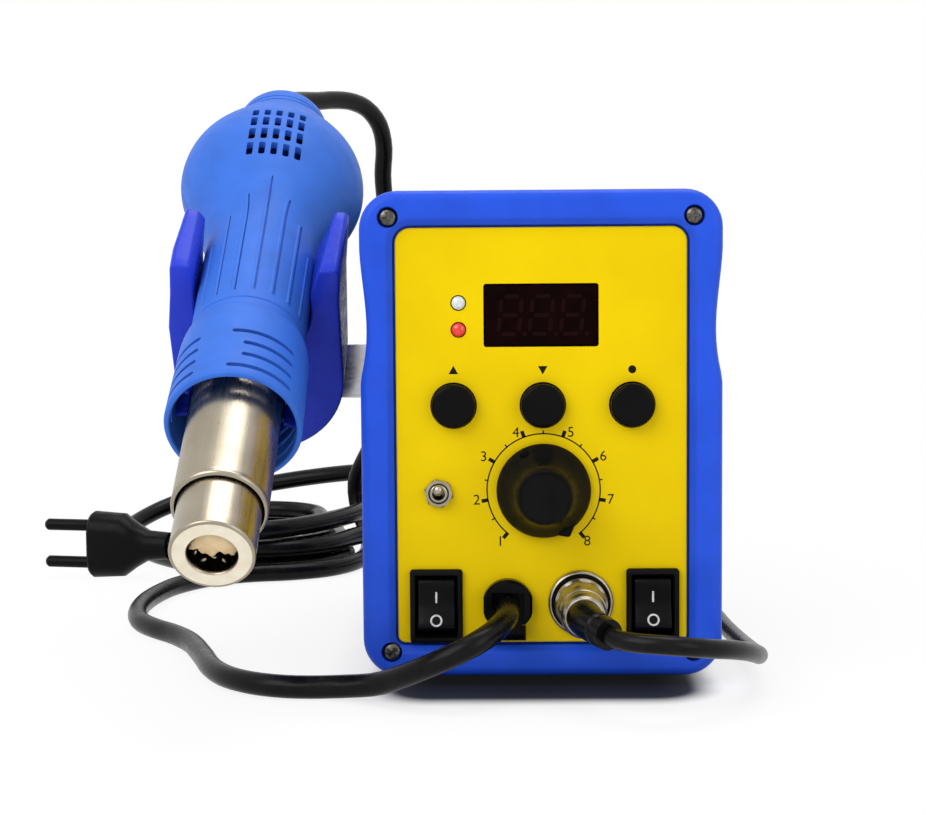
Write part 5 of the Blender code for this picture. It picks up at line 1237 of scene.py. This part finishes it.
def make_shell(name, node, side):
    """One half of the shell; side is -1 above and 1 below."""
    loops = []
    steps = 56
    last = 2 * steps + 1
    seam = 0.00015
    turns = [math.pi * k / steps for k in range(steps + 1)]
    for z in shell_stations():
        a, b = [half - collar_groove(z) for half in head_size(z)]
        next_a, next_b = head_size(z + SHELL_WALL) if z > HEAD_CENTRE else (a, b)
        inner_a = min(a - SHELL_WALL, next_a)
        inner_b = min(b - SHELL_WALL, next_b)
        loops.append([(a * math.cos(t), side * (b * math.sin(t) + seam), z) for t in turns]
                     + [(inner_a * math.cos(t), side * (inner_b * math.sin(t) + seam), z)
                        for t in reversed(turns)])
    bm = bmesh.new()
    rows = [[bm.verts.new(point) for point in loop] for loop in loops]
    join_rows(bm, zip(rows, rows[1:]))
    for row in (rows[0], rows[-1]):
        for i in range(steps):
            bm.faces.new((row[i], row[i + 1], row[last - 1 - i], row[last - i]))
    shell = piece(name, bm, "handle_plastic", "handle", (node,), sharp=40)
    tools = bmesh.new()
    add_vents(tools, side)
    if side < 0:
        for k in RIBS:
            add_rib(tools, k, -0.00082, 0.00026, 0.0005, -0.00045)
    carve(shell, tools)
    shell.data.transform(HANDLE_FRAME)


def make_ribs():
    bm = bmesh.new()
    for k in RIBS:
        add_rib(bm, k, 0.0, 0.00062, 0.00030, -0.0004)
    piece("shell_ribs", bm, "handle_plastic", "handle", place=HANDLE_FRAME, sharp=60)


def add_rib(bm, k, aside, half, high, low):
    """A long bar that follows the shell, with rounded ends; also the tool for the line beside it."""
    turn = math.radians(90 + RIB_PITCH * k)
    length = RIB_ENDS[abs(k)] - RIB_START
    loops = []
    rows = 44
    for j in range(rows + 1):
        share = j / rows
        z = RIB_START + length * share
        a, b = head_size(z)
        out = Vector((a * math.cos(turn), -b * math.sin(turn), 0))
        along = Vector((out.y, -out.x, 0)).normalized()
        up = out.normalized()
        end = min(1.0, min(share, 1 - share) * length / half)
        rounding = math.sqrt(max(0.02, 1 - (1 - end) ** 2))
        across = along * half * rounding
        base = out + along * aside + Vector((0, 0, z))
        loop = [base + across * s + up * (high * rounding * t) for s, t in RIB_SECTION]
        loops.append(loop + [base + across + up * low, base - across + up * low])
    add_loops(bm, loops)


make_shell("shell_top", "handle_shell_top", -1)
make_ribs()
make_shell("shell_bottom", "handle_shell_bottom", 1)

TAIL_HOLE = 0.0052
TAIL_BORE = 0.0041


def make_tail_cap():
    r = TAIL_RADIUS
    hole = TAIL_HOLE
    low = TAIL_START + GAP
    end = TAIL_END
    profile = [(hole, low), (r, low), (r, low + 0.0016), (r - 0.0004, low + 0.0019), (r, low + 0.0022),
               (r - 0.0002, TAIL_START + 0.0044), (r - 0.0008, end - 0.0034), (r - 0.0016, end - 0.0016),
               (r - 0.0034, end - 0.0003), (r - 0.0048, end), (hole + 0.0004, end), (hole, end - 0.0004)]
    turned("tail_end_cap", profile, "handle_plastic", HANDLE_FRAME, body="handle", nodes=("tail_cap",),
           hollow=True, sharp=40)


def make_cord_relief():
    """A ringed sleeve that holds the cord in the tail."""
    bore = TAIL_BORE
    inside = TAIL_HOLE - GAP
    low = TAIL_START - 0.0006
    profile = [(0, TAIL_START - 0.004), (bore + 0.0030, TAIL_START - 0.004), (bore + 0.0030, low),
               (inside, low), (inside, TAIL_END + 0.001)]
    for k in range(4):
        level = TAIL_END + 0.0018 + k * 0.0021
        profile += [(bore + 0.0006, level), (bore + 0.0010, level + 0.0004), (bore + 0.0009, level + 0.0013)]
    profile += [(bore, TAIL_END + 0.010), (bore, TAIL_END + 0.004), (0, TAIL_END + 0.004)]
    turned("tail_sleeve", profile, "black_rubber", HANDLE_FRAME, body="handle",
           nodes=("handle_cord_relief",), steps=56, fillet=0.0002)


make_tail_cap()
make_cord_relief()

SHROUD_RADIUS = 0.0188
SHROUD_WALL = 0.0020
SHROUD_START = 0.0516
SHROUD_SHOULDER = SHROUD_END - 0.010
BARREL_RADIUS = 0.0127
SLOT_HALF = 0.0008
SLOT_SWEEPS = (61, 50, 50, 61)
SLOT_GROUPS = 4
FINS = 12


def add_slot(bm, first, sweep, level):
    """A round-ended slot that runs around the shroud, as a tool that reaches through its wall."""
    half = SLOT_HALF
    run = abs(sweep) * SHROUD_RADIUS - 2 * half
    steps = 30
    edge = [half + run * k / steps for k in range(steps + 1)]
    outline = [(along, half) for along in edge]
    outline += arc(half, 90, -180, 8, (half + run, 0))[1:-1]
    outline += [(along, -half) for along in reversed(edge)]
    outline += arc(half, 270, -180, 8, (half, 0))[1:-1]
    loops = []
    for radius in (SHROUD_RADIUS - SHROUD_WALL - 0.002, SHROUD_RADIUS + 0.0050):
        loop = []
        for along, up in outline:
            turn = first + math.copysign(along / SHROUD_RADIUS, sweep)
            loop.append((radius * math.cos(turn), radius * math.sin(turn), level + up))
        loops.append(loop)
    add_loops(bm, loops)


def shroud_profile():
    """A nearly straight sleeve whose rear end turns in towards the neck."""
    r = SHROUD_RADIUS
    low = SHROUD_START
    bore = r - SHROUD_WALL
    front = low + 0.0010
    narrow = r - 0.0004
    neck = NECK_RADIUS + 0.0006
    inside = NECK_RADIUS - SHELL_WALL
    profile = [(bore + 0.0004, low + 0.0003), (bore + 0.0007, low), (r - 0.0008, low),
               (r - 0.0003, low + 0.0003), (r, front)]
    profile += [(r - 0.0004 * k / 20, front + (SHROUD_SHOULDER - front) * k / 20) for k in range(1, 21)]
    for k in range(1, 9):
        turn = math.pi / 2 * k / 8
        profile.append((neck + (narrow - neck) * math.cos(turn), SHROUD_SHOULDER + 0.0096 * math.sin(turn)))
    return profile + [(NECK_RADIUS + 0.0002, SHROUD_END), (inside, SHROUD_END), (inside, SHROUD_END - 0.003),
                      (bore - 0.0010, SHROUD_SHOULDER), (bore, SHROUD_END - 0.014)]


def make_shroud():
    shroud = turned("shroud_shell", shroud_profile(), "handle_plastic", AT_ORIGIN, body="handle",
                    nodes=("nozzle_shroud",), steps=144, hollow=True, sharp=40)
    tools = bmesh.new()
    for group in range(SLOT_GROUPS):
        first = math.radians(-39.0 - 90 * group)
        for row, sweep in enumerate(SLOT_SWEEPS):
            add_slot(tools, first, math.radians(-sweep), 0.05555 + row * 0.0054)
    carve(shroud, tools)
    shroud.data.transform(HANDLE_FRAME)


def make_fins():
    """The ribs that hold the barrel in the middle of the shroud."""
    bm = bmesh.new()
    for k in range(FINS):
        turn = 2 * math.pi * (k + 0.5) / FINS
        ahead = Vector((math.cos(turn), math.sin(turn)))
        aside = Vector((-ahead.y, ahead.x)) * 0.0005
        near = ahead * (BARREL_RADIUS + 0.0010)
        far = ahead * (SHROUD_RADIUS - SHROUD_WALL + 0.0002)
        add_prism(bm, [tuple(near - aside), tuple(far - aside), tuple(far + aside), tuple(near + aside)],
                  SHROUD_START + 0.0090, SHROUD_END - 0.0135)
    piece("shroud_fins", bm, "cradle_plastic", "handle", place=HANDLE_FRAME)


make_shroud()
make_fins()

NOZZLE_TUBE = 0.0110
NOZZLE_HOLE = 0.0064
NOZZLE_LIP = 0.0007
BARREL_START = 0.0173
HEATER_RADIUS = 0.0060
HEATER_EDGE = 0.0062
HEATER_MIDDLE = -0.0020
BITS = ((-0.0044, 0.0022, 0.00042), (-0.0022, 0.0044, 0.00052), (0.0004, 0.0032, 0.00036),
        (0.0030, 0.0040, 0.00046), (0.0046, 0.0014, 0.00040), (-0.0058, -0.0006, 0.00034))


def make_barrel():
    wide = BARREL_RADIUS
    low = BARREL_START
    bore = NOZZLE_TUBE + GAP
    collar = NECK_RADIUS - SHELL_WALL - GAP
    wall = wide - 0.0009
    profile = [(bore, low + 0.0008), (NOZZLE_TUBE + 0.0006, low + 0.0002), (wide - 0.0010, low),
               (wide - 0.0004, low + 0.0002), (wide - 0.0001, low + 0.0006), (wide, low + 0.0012),
               (wide - 0.00025, low + 0.0019), (wide - 0.0001, low + 0.0026), (wide - 0.0001, 0.0918),
               (wide, 0.0920), (collar, 0.0920), (collar, 0.0945), (wide, 0.0945), (wide, 0.100),
               (wall, 0.100), (wall, low + 0.0024), (bore, low + 0.0024)]
    turned("barrel_skin", profile, "warm_nickel", HANDLE_FRAME, body="handle", nodes=("barrel_tube",),
           steps=128, hollow=True, sharp=50)


def make_nozzle():
    """The nozzle's tube with its rolled lip, and the pale face inside the lip."""
    tube = NOZZLE_TUBE
    hole = NOZZLE_HOLE
    lip = NOZZLE_LIP
    wall = tube - 0.0008
    profile = [(hole, 0.0009), (hole + 0.0002, 0.0003), (hole + 0.0006, 0.0001), (tube - lip * 1.7, 0.0001)]
    profile += [(tube - lip + lip * math.cos(a), lip - lip * math.sin(a))
                for a in [math.pi * (0.72 - 0.09 * k) for k in range(9)]]
    profile += [(tube - 0.00012, 0.0018), (tube - 0.00005, 0.0030), (tube, 0.034), (wall, 0.034),
                (wall, 0.0014), (hole, 0.0012)]
    turned("nozzle_skin", profile, "warm_nickel", HANDLE_FRAME, body="handle", nodes=("nozzle_tube",),
           steps=128, hollow=True, sharp=60)
    inner = hole + 0.0003
    outer = tube - 0.0009
    face = [(inner, 0.00004), (outer, 0.00004), (outer, 0.0003), (inner, 0.0003)]
    turned("nozzle_face", face, "cream_face", HANDLE_FRAME, body="handle", hollow=True)


def heater_edge():
    """The irregular upper edge of the ceramic, from right to left, without its ends."""
    points = []
    for k in range(31, 0, -1):
        share = k / 32
        across = HEATER_EDGE * math.cos(math.pi * share)
        notch = 0.0006 * math.sin(math.pi * 5.3 * share + 0.8)
        notch += 0.0005 * math.sin(math.pi * 11.6 * share + 2.1)
        points.append((-across, 0.0020 + notch - 0.0018 * abs(across) / HEATER_EDGE))
    return points


def make_heater():
    """What shows in the nozzle's mouth: the ceramic, a black disc behind it as painted shade for the dark
    cavity, and the bits around.
    """
    outline = arc(HEATER_RADIUS, -168, 168, 48, (0.0003, 0.0)) + heater_edge()
    middle = HEATER_MIDDLE
    bm = bmesh.new()
    add_loops(bm, [[(x * share, middle + (y - middle) * share, level) for x, y in outline]
                   for share, level in ((0.02, 0.0017), (0.5, 0.0018), (0.92, 0.0020), (1.0, 0.0025),
                                        (1.0, 0.0120))])
    piece("heater_cap", bm, "tan_ceramic", "handle", place=HANDLE_FRAME, sharp=60)
    # A black disc deep in the bore, put there as painted shade for the dark cavity behind the ceramic.
    turned("mouth_shade_disc", [(0, 0.0125), (0.0096, 0.0125), (0.0096, 0.0135), (0, 0.0135)], "black_plastic",
           HANDLE_FRAME, body="handle", steps=48)
    bits = bmesh.new()
    for x, y, size in BITS:
        place = Matrix.Translation((x, y, 0.0030)) @ Matrix.Rotation(x * 300, 4, "Z")
        bmesh.ops.create_icosphere(bits, subdivisions=3, radius=size,
                                   matrix=place @ Matrix.Scale(1.9, 4, (1, 0, 0)))
    piece("heater_pins", bits, "nickel", "handle", place=HANDLE_FRAME)


make_barrel()
make_nozzle()
make_heater()

# Cradle

CRADLE_START = 0.108
CRADLE_DEPTH = 0.024
CRADLE_HALF = 0.0253
CRADLE_SEAT = 0.0171
CRADLE_BOTTOM = 0.052
ARM_TOP_FRONT = 0.0160
ARM_TOP_BACK = 0.0207


def cradle_outline(share):
    """(across, up) round the fork; share runs from its front face (0) to its back (1)."""
    rise = (ARM_TOP_BACK - ARM_TOP_FRONT) * share
    left_top = ARM_TOP_FRONT + rise
    right_top = ARM_TOP_FRONT - 0.0026 + rise * 1.2
    taper = max(0.0, share - 0.3) / 0.7
    right_out = CRADLE_HALF + 0.0008 + 0.0018 * share
    right_in = CRADLE_SEAT + 0.0020 + 0.0036 * share
    left_out = CRADLE_HALF - 0.0024 - 0.0022 * taper
    left_in = CRADLE_SEAT - 0.0010 - 0.0012 * share
    seat = CRADLE_SEAT - 0.0001 * share
    depth = CRADLE_HALF * 1.05
    middle = depth - CRADLE_BOTTOM
    points = [(seat + 0.0002, 0.0050), (right_in, right_top - 0.0028), (right_in + 0.0012, right_top),
              (right_out - 0.0012, right_top), (right_out, right_top - 0.0014),
              (CRADLE_HALF + 0.0010 * share, 0.0020)]
    points += [(CRADLE_HALF * math.cos(t), middle + depth * math.sin(t))
               for t in [-math.pi * k / 36 for k in range(37)]]
    points += [(-CRADLE_HALF, -0.0060), (-CRADLE_HALF + 0.0016, 0.0060), (-left_out, left_top - 0.0010),
               (-left_out + 0.0010, left_top), (-left_in - 0.0016, left_top - 0.0008),
               (-left_in, left_top - 0.0034), (-seat + 0.0004, 0.0060)]
    return points + arc(seat, 180, 180, 36)


def make_cradle():
    bm = bmesh.new()
    rows = 6
    add_loops(bm, [[(x, -up, CRADLE_START + CRADLE_DEPTH * k / rows) for x, up in cradle_outline(k / rows)]
                   for k in range(rows + 1)])
    cradle = piece("cradle_fork", bm, "cradle_plastic", nodes=("cradle",), place=SLOPING)
    bevel(cradle, 0.0008, 4, 28)
    pad = bmesh.new()
    add_box(pad, (TIP.x - 0.0115, -0.0138, 0.0705), (TIP.x + 0.0115, 0.0082, 0.0865))
    bevel(piece("cradle_pad", pad, "cradle_plastic"), 0.0006, 2)


make_cradle()

# Nodes that keep their form: smooth shading and a broken edge

# The width of the broken edge; 0 leaves the edges as they are.
FINISH = {"case_cover": 0.0004, "case_base": 0.0, "rear_panel": 0.0003, "foot_front_left": 0.0005,
          "foot_front_right": 0.0005, "foot_rear_left": 0.0005, "foot_rear_right": 0.0005,
          "hot_air_gland": 0.0004, "holder_bracket": 0.0003, "mains_plug": 0.0006,
          "mains_relief": 0.0003, "iron_grip": 0.0, "iron_barrel": 0.0, "transformer": 0.0005,
          "potentiometer": 0.0003, "front_board": 0.0, "main_board": 0.0, "heater_former": 0.0,
          "blower_housing": 0.0, "impeller": 0.0}
DARK_INSIDE = {"blower_housing": "navy_plastic"}
for finish_node, finish_edge in FINISH.items():
    polished(finish_node, finish_edge, DARK_INSIDE.get(finish_node))

# Cords

HANDLE_CORD = 0.0064
MAINS_CORD = 0.0070
IRON_CORD = 0.0052
CORD_SPACING = 0.0035
HANK_CENTRE = Vector((-0.1077, 0.1738))
HANK_TURN = math.radians(8.0)
HANK_HALF_RUN = 0.030
HANK_OUTER = 0.036
COIL_CENTRE = Vector((0.008, 0.131))
COIL_MIDDLE = 0.0298

HANDLE_ROUTE = [
    (-0.0094, -0.0739, 0.0178), (-0.0094, -0.0800, 0.0177), (-0.0105, -0.0890, 0.0168),
    (-0.0135, -0.0970, 0.0151), (-0.0185, -0.1022, 0.0128), (-0.0250, -0.1035, 0.0098),
    (-0.0322, -0.1010, 0.0062), (-0.0390, -0.0960, 0.0026), (-0.0455, -0.0915, -0.0002),
    (-0.0540, -0.0885, -0.0014), (-0.0640, -0.0880, -0.0017), (-0.0725, -0.0865, -0.0017),
    (-0.0810, -0.0818, -0.0017), (-0.0884, -0.0738, -0.0017), (-0.0942, -0.0620, -0.0017),
    (-0.0993, -0.0450, -0.0017), (-0.1054, -0.0265, -0.0017), (-0.1128, -0.0128, -0.0017),
    (-0.1203, -0.0030, -0.0017), (-0.1270, 0.0085, -0.0017), (-0.1308, 0.0235, -0.0017),
    (-0.1320, 0.0420, -0.0017), (-0.1303, 0.0610, -0.0017), (-0.1260, 0.0780, -0.0017),
                (-0.1170, 0.0930, -0.0017),
    (-0.1040, 0.1020, -0.0017), (-0.0890, 0.1060, -0.0017), (-0.0755, 0.1140, -0.0017),
    (-0.0665, 0.1290, -0.0017), (-0.0636, 0.1480, -0.0016), (-0.0640, 0.1690, -0.0006),
    (-0.0665, 0.1860, 0.0032), (-0.0700, 0.1925, 0.0110), (-0.0705, 0.1930, 0.0230),
    (-0.0632, 0.1870, 0.0390), (-0.0572, 0.1745, 0.0580), (-0.0545, 0.1600, 0.0790),
    (-0.0538, 0.1475, 0.1000), (-0.0535, 0.1390, 0.1180), (-0.0540, 0.1335, 0.1330),
    (-0.0545, 0.1285, 0.1445), (-0.0537, 0.1240, 0.1545), (-0.0550, 0.1180, 0.1625),
    (-0.0590, 0.1110, 0.1680), (-0.0643, 0.1035, 0.1702), (-0.0700, 0.0955, 0.1702),
    (-0.0752, 0.0875, 0.1693), (-0.0797, 0.0800, 0.1689), (-0.0824, 0.0735, 0.1682),
    (-0.0834, 0.0675, 0.1669), (-0.0836, 0.0621, 0.1643),
]
MAINS_IN = [
    (-0.0200, 0.0928, 0.0280), (-0.0200, 0.1060, 0.0280), (-0.0203, 0.1220, 0.0276),
    (-0.0225, 0.1450, 0.0268), (-0.0285, 0.1700, 0.0258), (-0.0395, 0.1950, 0.0246),
    (-0.0560, 0.2160, 0.0232), (-0.0760, 0.2300, 0.0210), (-0.0980, 0.2368, 0.0178),
    (-0.1180, 0.2370, 0.0146), (-0.1370, 0.2325, 0.0124), (-0.1540, 0.2235, 0.0076),
    (-0.1650, 0.2090, 0.0026), (-0.1680, 0.1930, -0.0004), (-0.1650, 0.1780, -0.0012),
    (-0.1575, 0.1640, -0.0013), (-0.1492, 0.1530, -0.0013), (-0.1400, 0.1395, -0.0014),
]
MAINS_OUT = [
    (-0.0680, 0.1445, 0.0058), (-0.0625, 0.1535, 0.0058), (-0.0552, 0.1608, 0.0052),
    (-0.0465, 0.1662, 0.0030), (-0.0370, 0.1705, 0.0002), (-0.0270, 0.1750, -0.0013),
    (-0.0172, 0.1812, -0.0013), (-0.0090, 0.1900, -0.0013), (-0.0052, 0.2010, -0.0012),
    (-0.0062, 0.2125, -0.0009), (-0.0120, 0.2230, -0.0002), (-0.0220, 0.2305, 0.0010),
    (-0.0335, 0.2330, 0.0026), (-0.0445, 0.2308, 0.0048), (-0.0540, 0.2243, 0.0073),
    (-0.0600, 0.2148, 0.0096), (-0.0620, 0.2045, 0.0114), (-0.0628, 0.1900, 0.0128),
    (-0.0645, 0.1720, 0.0131), (-0.0700, 0.1530, 0.0131), (-0.0790, 0.1340, 0.0131),
    (-0.0905, 0.1180, 0.0131), (-0.1025, 0.1100, 0.0130), (-0.1125, 0.1074, 0.0124),
    (-0.1210, 0.1080, 0.0101), (-0.1286, 0.1098, 0.0079), (-0.1345, 0.1110, 0.0075),
    (-0.1398, 0.1121, 0.0075),
]
IRON_IN = [
    (0.0169, -0.1101, 0.0164), (0.0187, -0.1126, 0.0158), (0.0235, -0.1163, 0.0157),
    (0.0300, -0.1180, 0.0155), (0.0365, -0.1165, 0.0147), (0.0430, -0.1120, 0.0133),
    (0.0490, -0.1050, 0.0116), (0.0540, -0.0960, 0.0093), (0.0580, -0.0845, 0.0063),
    (0.0605, -0.0700, 0.0030), (0.0612, -0.0500, 0.0002), (0.0605, -0.0250, -0.0016),
    (0.0592, 0.0000, -0.0023), (0.0580, 0.0300, -0.0023), (0.0578, 0.0560, -0.0023),
    (0.0555, 0.0740, -0.0023), (0.0470, 0.0855, -0.0023), (0.0330, 0.0905, -0.0023),
    (0.0200, 0.0925, -0.0023), (0.0090, 0.0935, -0.0023),
]
IRON_OUT = [
    (0.0180, 0.1692, 0.0020), (0.0265, 0.1760, 0.0000), (0.0305, 0.1880, -0.0020),
    (0.0315, 0.2050, -0.0023), (0.0315, 0.2300, -0.0023), (0.0315, 0.2480, -0.0020),
    (0.0315, 0.2620, -0.0006), (0.0318, 0.2745, 0.0012), (0.0350, 0.2820, 0.0026),
    (0.0410, 0.2862, 0.0040), (0.0480, 0.2862, 0.0050), (0.0540, 0.2820, 0.0055),
    (0.0572, 0.2745, 0.0055), (0.0575, 0.2680, 0.0055), (0.0575, 0.2626, 0.0055),
]


def smooth_route(points, spacing):
    """Evenly spaced points on a smooth curve through the route's own points."""
    route = [Vector(p) for p in points]
    padded = [route[0] * 2 - route[1]] + route + [route[-1] * 2 - route[-2]]
    fine = []
    for a, b, c, d in zip(padded, padded[1:], padded[2:], padded[3:]):
        for k in range(12):
            t = k / 12
            fine.append(0.5 * ((2 * b) + (c - a) * t + (2 * a - 5 * b + 4 * c - d) * t * t
                               + (3 * b - a - 3 * c + d) * t ** 3))
    fine.append(route[-1])
    length = sum((q - p).length for p, q in zip(fine, fine[1:]))
    count = max(2, round(length / spacing))
    step = length / count
    result = [fine[0]]
    walked = 0.0
    for p, q in zip(fine, fine[1:]):
        gap = (q - p).length
        while gap > 0 and walked + gap >= step * len(result) and len(result) < count:
            result.append(p.lerp(q, (step * len(result) - walked) / gap))
        walked += gap
    result.append(fine[-1])
    return result


def ease(t):
    """A soft step from 0 to 1."""
    t = max(0.0, min(1.0, t))
    return t * t * (3 - 2 * t)


def hank_spot(radius, share):
    """A point on the hank's oval, counter-clockwise; share 0 is the lower end's left point."""
    run = 2 * HANK_HALF_RUN
    bend = math.pi * radius
    total = 2 * run + 2 * bend
    along = (share % 1.0) * total
    if along < bend:
        angle = math.pi + along / radius
        local = Vector((radius * math.cos(angle), -HANK_HALF_RUN + radius * math.sin(angle)))
    elif along < bend + run:
        local = Vector((radius, -HANK_HALF_RUN + along - bend))
    elif along < 2 * bend + run:
        angle = (along - bend - run) / radius
        local = Vector((radius * math.cos(angle), HANK_HALF_RUN + radius * math.sin(angle)))
    else:
        local = Vector((-radius, HANK_HALF_RUN - (along - 2 * bend - run)))
    return HANK_CENTRE + Matrix.Rotation(HANK_TURN, 2) @ local


def column_and_layer(turn, steps):
    """Blends from one lane of the wound turns to the next over the last part of each turn."""
    index = min(int(turn), len(steps) - 1)
    after = steps[min(index + 1, len(steps) - 1)]
    mix = ease((turn - index - 0.72) / 0.28)
    here = steps[index]
    return here[0] + (after[0] - here[0]) * mix, here[1] + (after[1] - here[1]) * mix


def hank_turns():
    outer = HANK_OUTER - MAINS_CORD / 2 - 0.0001
    inner = outer - MAINS_CORD - 0.0001
    low = FLOOR_Z + MAINS_CORD / 2
    high = low + MAINS_CORD + 0.0001
    lanes = [(outer, low), (inner, low), (inner, high), (outer, high)]
    start = 0.085
    stop = 3.262
    points = []
    count = 110
    for k in range(count + 1):
        turn = start + (stop - start) * k / count
        radius, height = column_and_layer(turn, lanes)
        spot = hank_spot(radius, turn)
        points.append((spot.x, spot.y, height))
    return points


def coil_turns():
    outer = COIL_MIDDLE + IRON_CORD / 2
    inner = COIL_MIDDLE - IRON_CORD / 2
    low = FLOOR_Z + IRON_CORD / 2
    high = low + IRON_CORD
    lanes = [(outer, low), (inner, low), (inner, high), (outer, high)]
    points = []
    count = 110
    first = 0.10
    last = 3.44
    for k in range(count + 1):
        turn = first + (last - first) * k / count
        radius, height = column_and_layer(turn, lanes)
        radius += 0.0048 * ease((turn - 3.25) / 0.25) + 0.0040 * (1 - ease(turn / 0.2))
        angle = -math.pi / 2 - 2 * math.pi * turn
        points.append((COIL_CENTRE.x + radius * math.cos(angle),
                       COIL_CENTRE.y + radius * math.sin(angle), height))
    return points


def make_cord(name, route, diameter):
    data = bpy.data.curves.new(name, "CURVE")
    data.dimensions = "3D"
    data.bevel_depth = diameter / 2
    data.bevel_resolution = 6
    data.use_fill_caps = True
    points = smooth_route(route, CORD_SPACING)
    spline = data.splines.new("POLY")
    spline.points.add(len(points) - 1)
    for k, point in enumerate(points):
        spline.points[k].co = (*point, 1.0)
    data.materials.append(MATERIALS["black_rubber"])
    obj = add_object(name, data)
    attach(obj, "station")
    length = sum((q - p).length for p, q in zip(points, points[1:]))
    print("cord", name, round(length, 4))
    return obj


handle_cord = make_cord("handle_lead", HANDLE_ROUTE, HANDLE_CORD)
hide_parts("handle_cord")

mains_lead = make_cord("mains_lead", MAINS_IN + hank_turns() + MAINS_OUT, MAINS_CORD)
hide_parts("mains_cord", "mains_coil", "mains_tail")

iron_lead = make_cord("iron_lead_full", IRON_IN + coil_turns() + IRON_OUT, IRON_CORD)
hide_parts("iron_cord", "iron_coil", "iron_lead")

# Floor and lights


FOOTPRINT = (0.030, 0.0765, 0.0)
WHITE_FROM = 0.30
FLOOR_HALF = 3.0
FLOOR_COLOUR = (0.90, 0.90, 0.93, 1)
# Colour of the painted contact shadow on the floor under the station.
PAINTED_SHADOW_COLOUR = (0.010, 0.012, 0.03, 1)
WHITENING = ((0.0, 0.0), (0.042, 0.02), (0.068, 0.66), (0.11, 0.84), (0.45, 0.95), (1.0, 1.0))


def math_node(tree, operation, first, second=None, kind="ShaderNodeMath"):
    """A sum on sockets or plain values; gives the output."""
    made = tree.nodes.new(kind)
    made.operation = operation
    for socket, value in zip(made.inputs, (first, second)):
        if isinstance(value, bpy.types.NodeSocket):
            tree.links.new(value, socket)
        elif value is not None:
            socket.default_value = value
    return next(output for output in made.outputs if output.enabled)


def background_rays(tree):
    """1 for the rays that see the background itself: straight, mirrored and through glass."""
    ray = tree.nodes.new("ShaderNodeLightPath").outputs
    mirrored = math_node(tree, "MAXIMUM", ray["Is Camera Ray"], ray["Is Glossy Ray"])
    return math_node(tree, "MAXIMUM", mirrored, ray["Is Transmission Ray"])


def mix_shaders(tree, share, first, second, target):
    """Puts one shader over another by a share, as the whole result."""
    mix = tree.nodes.new("ShaderNodeMixShader")
    for socket, output in zip(mix.inputs, (share, first, second)):
        tree.links.new(output, socket)
    tree.links.new(mix.outputs["Shader"], target.inputs["Surface"])


def colour_steps(tree, factor, steps):
    """A colour ramp through (position, colour) steps, from first to last; gives the colour."""
    ramp = tree.nodes.new("ShaderNodeValToRGB")
    elements = ramp.color_ramp.elements
    for element, (position, colour) in zip(elements, (steps[0], steps[-1])):
        element.position = position
        element.color = colour
    for position, colour in steps[1:-1]:
        elements.new(position).color = colour
    tree.links.new(factor, ramp.inputs["Fac"])
    return ramp.outputs["Color"]


def floor_material():
    """A pale floor with a painted contact shadow under the station, that fades to pure white away from it.
    """
    material = bpy.data.materials.new("floor")
    material.use_nodes = True
    tree = material.node_tree
    shader = tree.nodes["Principled BSDF"]
    shader.inputs["Roughness"].default_value = 0.6
    shader.inputs["Specular IOR Level"].default_value = 0.1
    glow = tree.nodes.new("ShaderNodeEmission")
    glow.inputs["Color"].default_value = (1, 1, 1, 1)
    glow.inputs["Strength"].default_value = 1.0
    away = tree.nodes.new("ShaderNodeTexCoord").outputs["Object"]
    for operation, value in (("ABSOLUTE", None), ("SUBTRACT", FOOTPRINT), ("MAXIMUM", (0, 0, 0)),
                             ("LENGTH", None)):
        away = math_node(tree, operation, away, value, "ShaderNodeVectorMath")
    share = math_node(tree, "DIVIDE", away, WHITE_FROM)
    white = colour_steps(tree, share,
                         [(position, (amount, amount, amount, 1)) for position, amount in WHITENING])
    # The floor's base colour: a painted contact shadow close to the station, its own pale colour further
    # out.
    colour = colour_steps(tree, share, ((0.040, PAINTED_SHADOW_COLOUR), (0.070, FLOOR_COLOUR)))
    tree.links.new(colour, shader.inputs["Base Color"])
    mix_shaders(tree, math_node(tree, "MULTIPLY", background_rays(tree), white), shader.outputs["BSDF"],
                glow.outputs["Emission"], tree.nodes["Material Output"])
    return material


def make_floor():
    mesh = bpy.data.meshes.new("floor")
    half = FLOOR_HALF
    level = FLOOR_Z - 0.0001
    corners = [(-half, -half, level), (half, -half, level), (half, half, level), (-half, half, level)]
    mesh.from_pydata(corners, [], [(0, 1, 2, 3)])
    mesh.materials.append(floor_material())
    add_object("floor", mesh)


def make_world():
    world = bpy.data.worlds.new("world")
    bpy.context.scene.world = world
    world.use_nodes = True
    tree = world.node_tree
    light = tree.nodes["Background"]
    white = tree.nodes.new("ShaderNodeBackground")
    for shader, strength in ((light, 0.57), (white, 1.0)):
        shader.inputs["Color"].default_value = (1, 1, 1, 1)
        shader.inputs["Strength"].default_value = strength
    mix_shaders(tree, background_rays(tree), light.outputs["Background"], white.outputs["Background"],
                tree.nodes["World Output"])


def area_light(name, place, target, width, height, power):
    data = bpy.data.lights.new(name, "AREA")
    data.shape = "RECTANGLE"
    data.size = width
    data.size_y = height
    data.energy = power
    data.color = (1, 1, 1)
    light = add_object(name, data)
    light.location = place
    light.rotation_euler = (Vector(target) - Vector(place)).to_track_quat("-Z", "Y").to_euler()


make_floor()
make_world()
CENTRE = (-0.02, -0.03, 0.07)
area_light("key", (-0.62, -0.78, 0.80), CENTRE, 0.9, 0.9, 8.0)
area_light("fill", (1.0, -0.9, 0.5), CENTRE, 0.6, 0.9, 3.0)
area_light("top", (0.1, 0.2, 1.3), CENTRE, 0.9, 0.6, 7.0)

bpy.context.scene.view_settings.view_transform = "Standard"
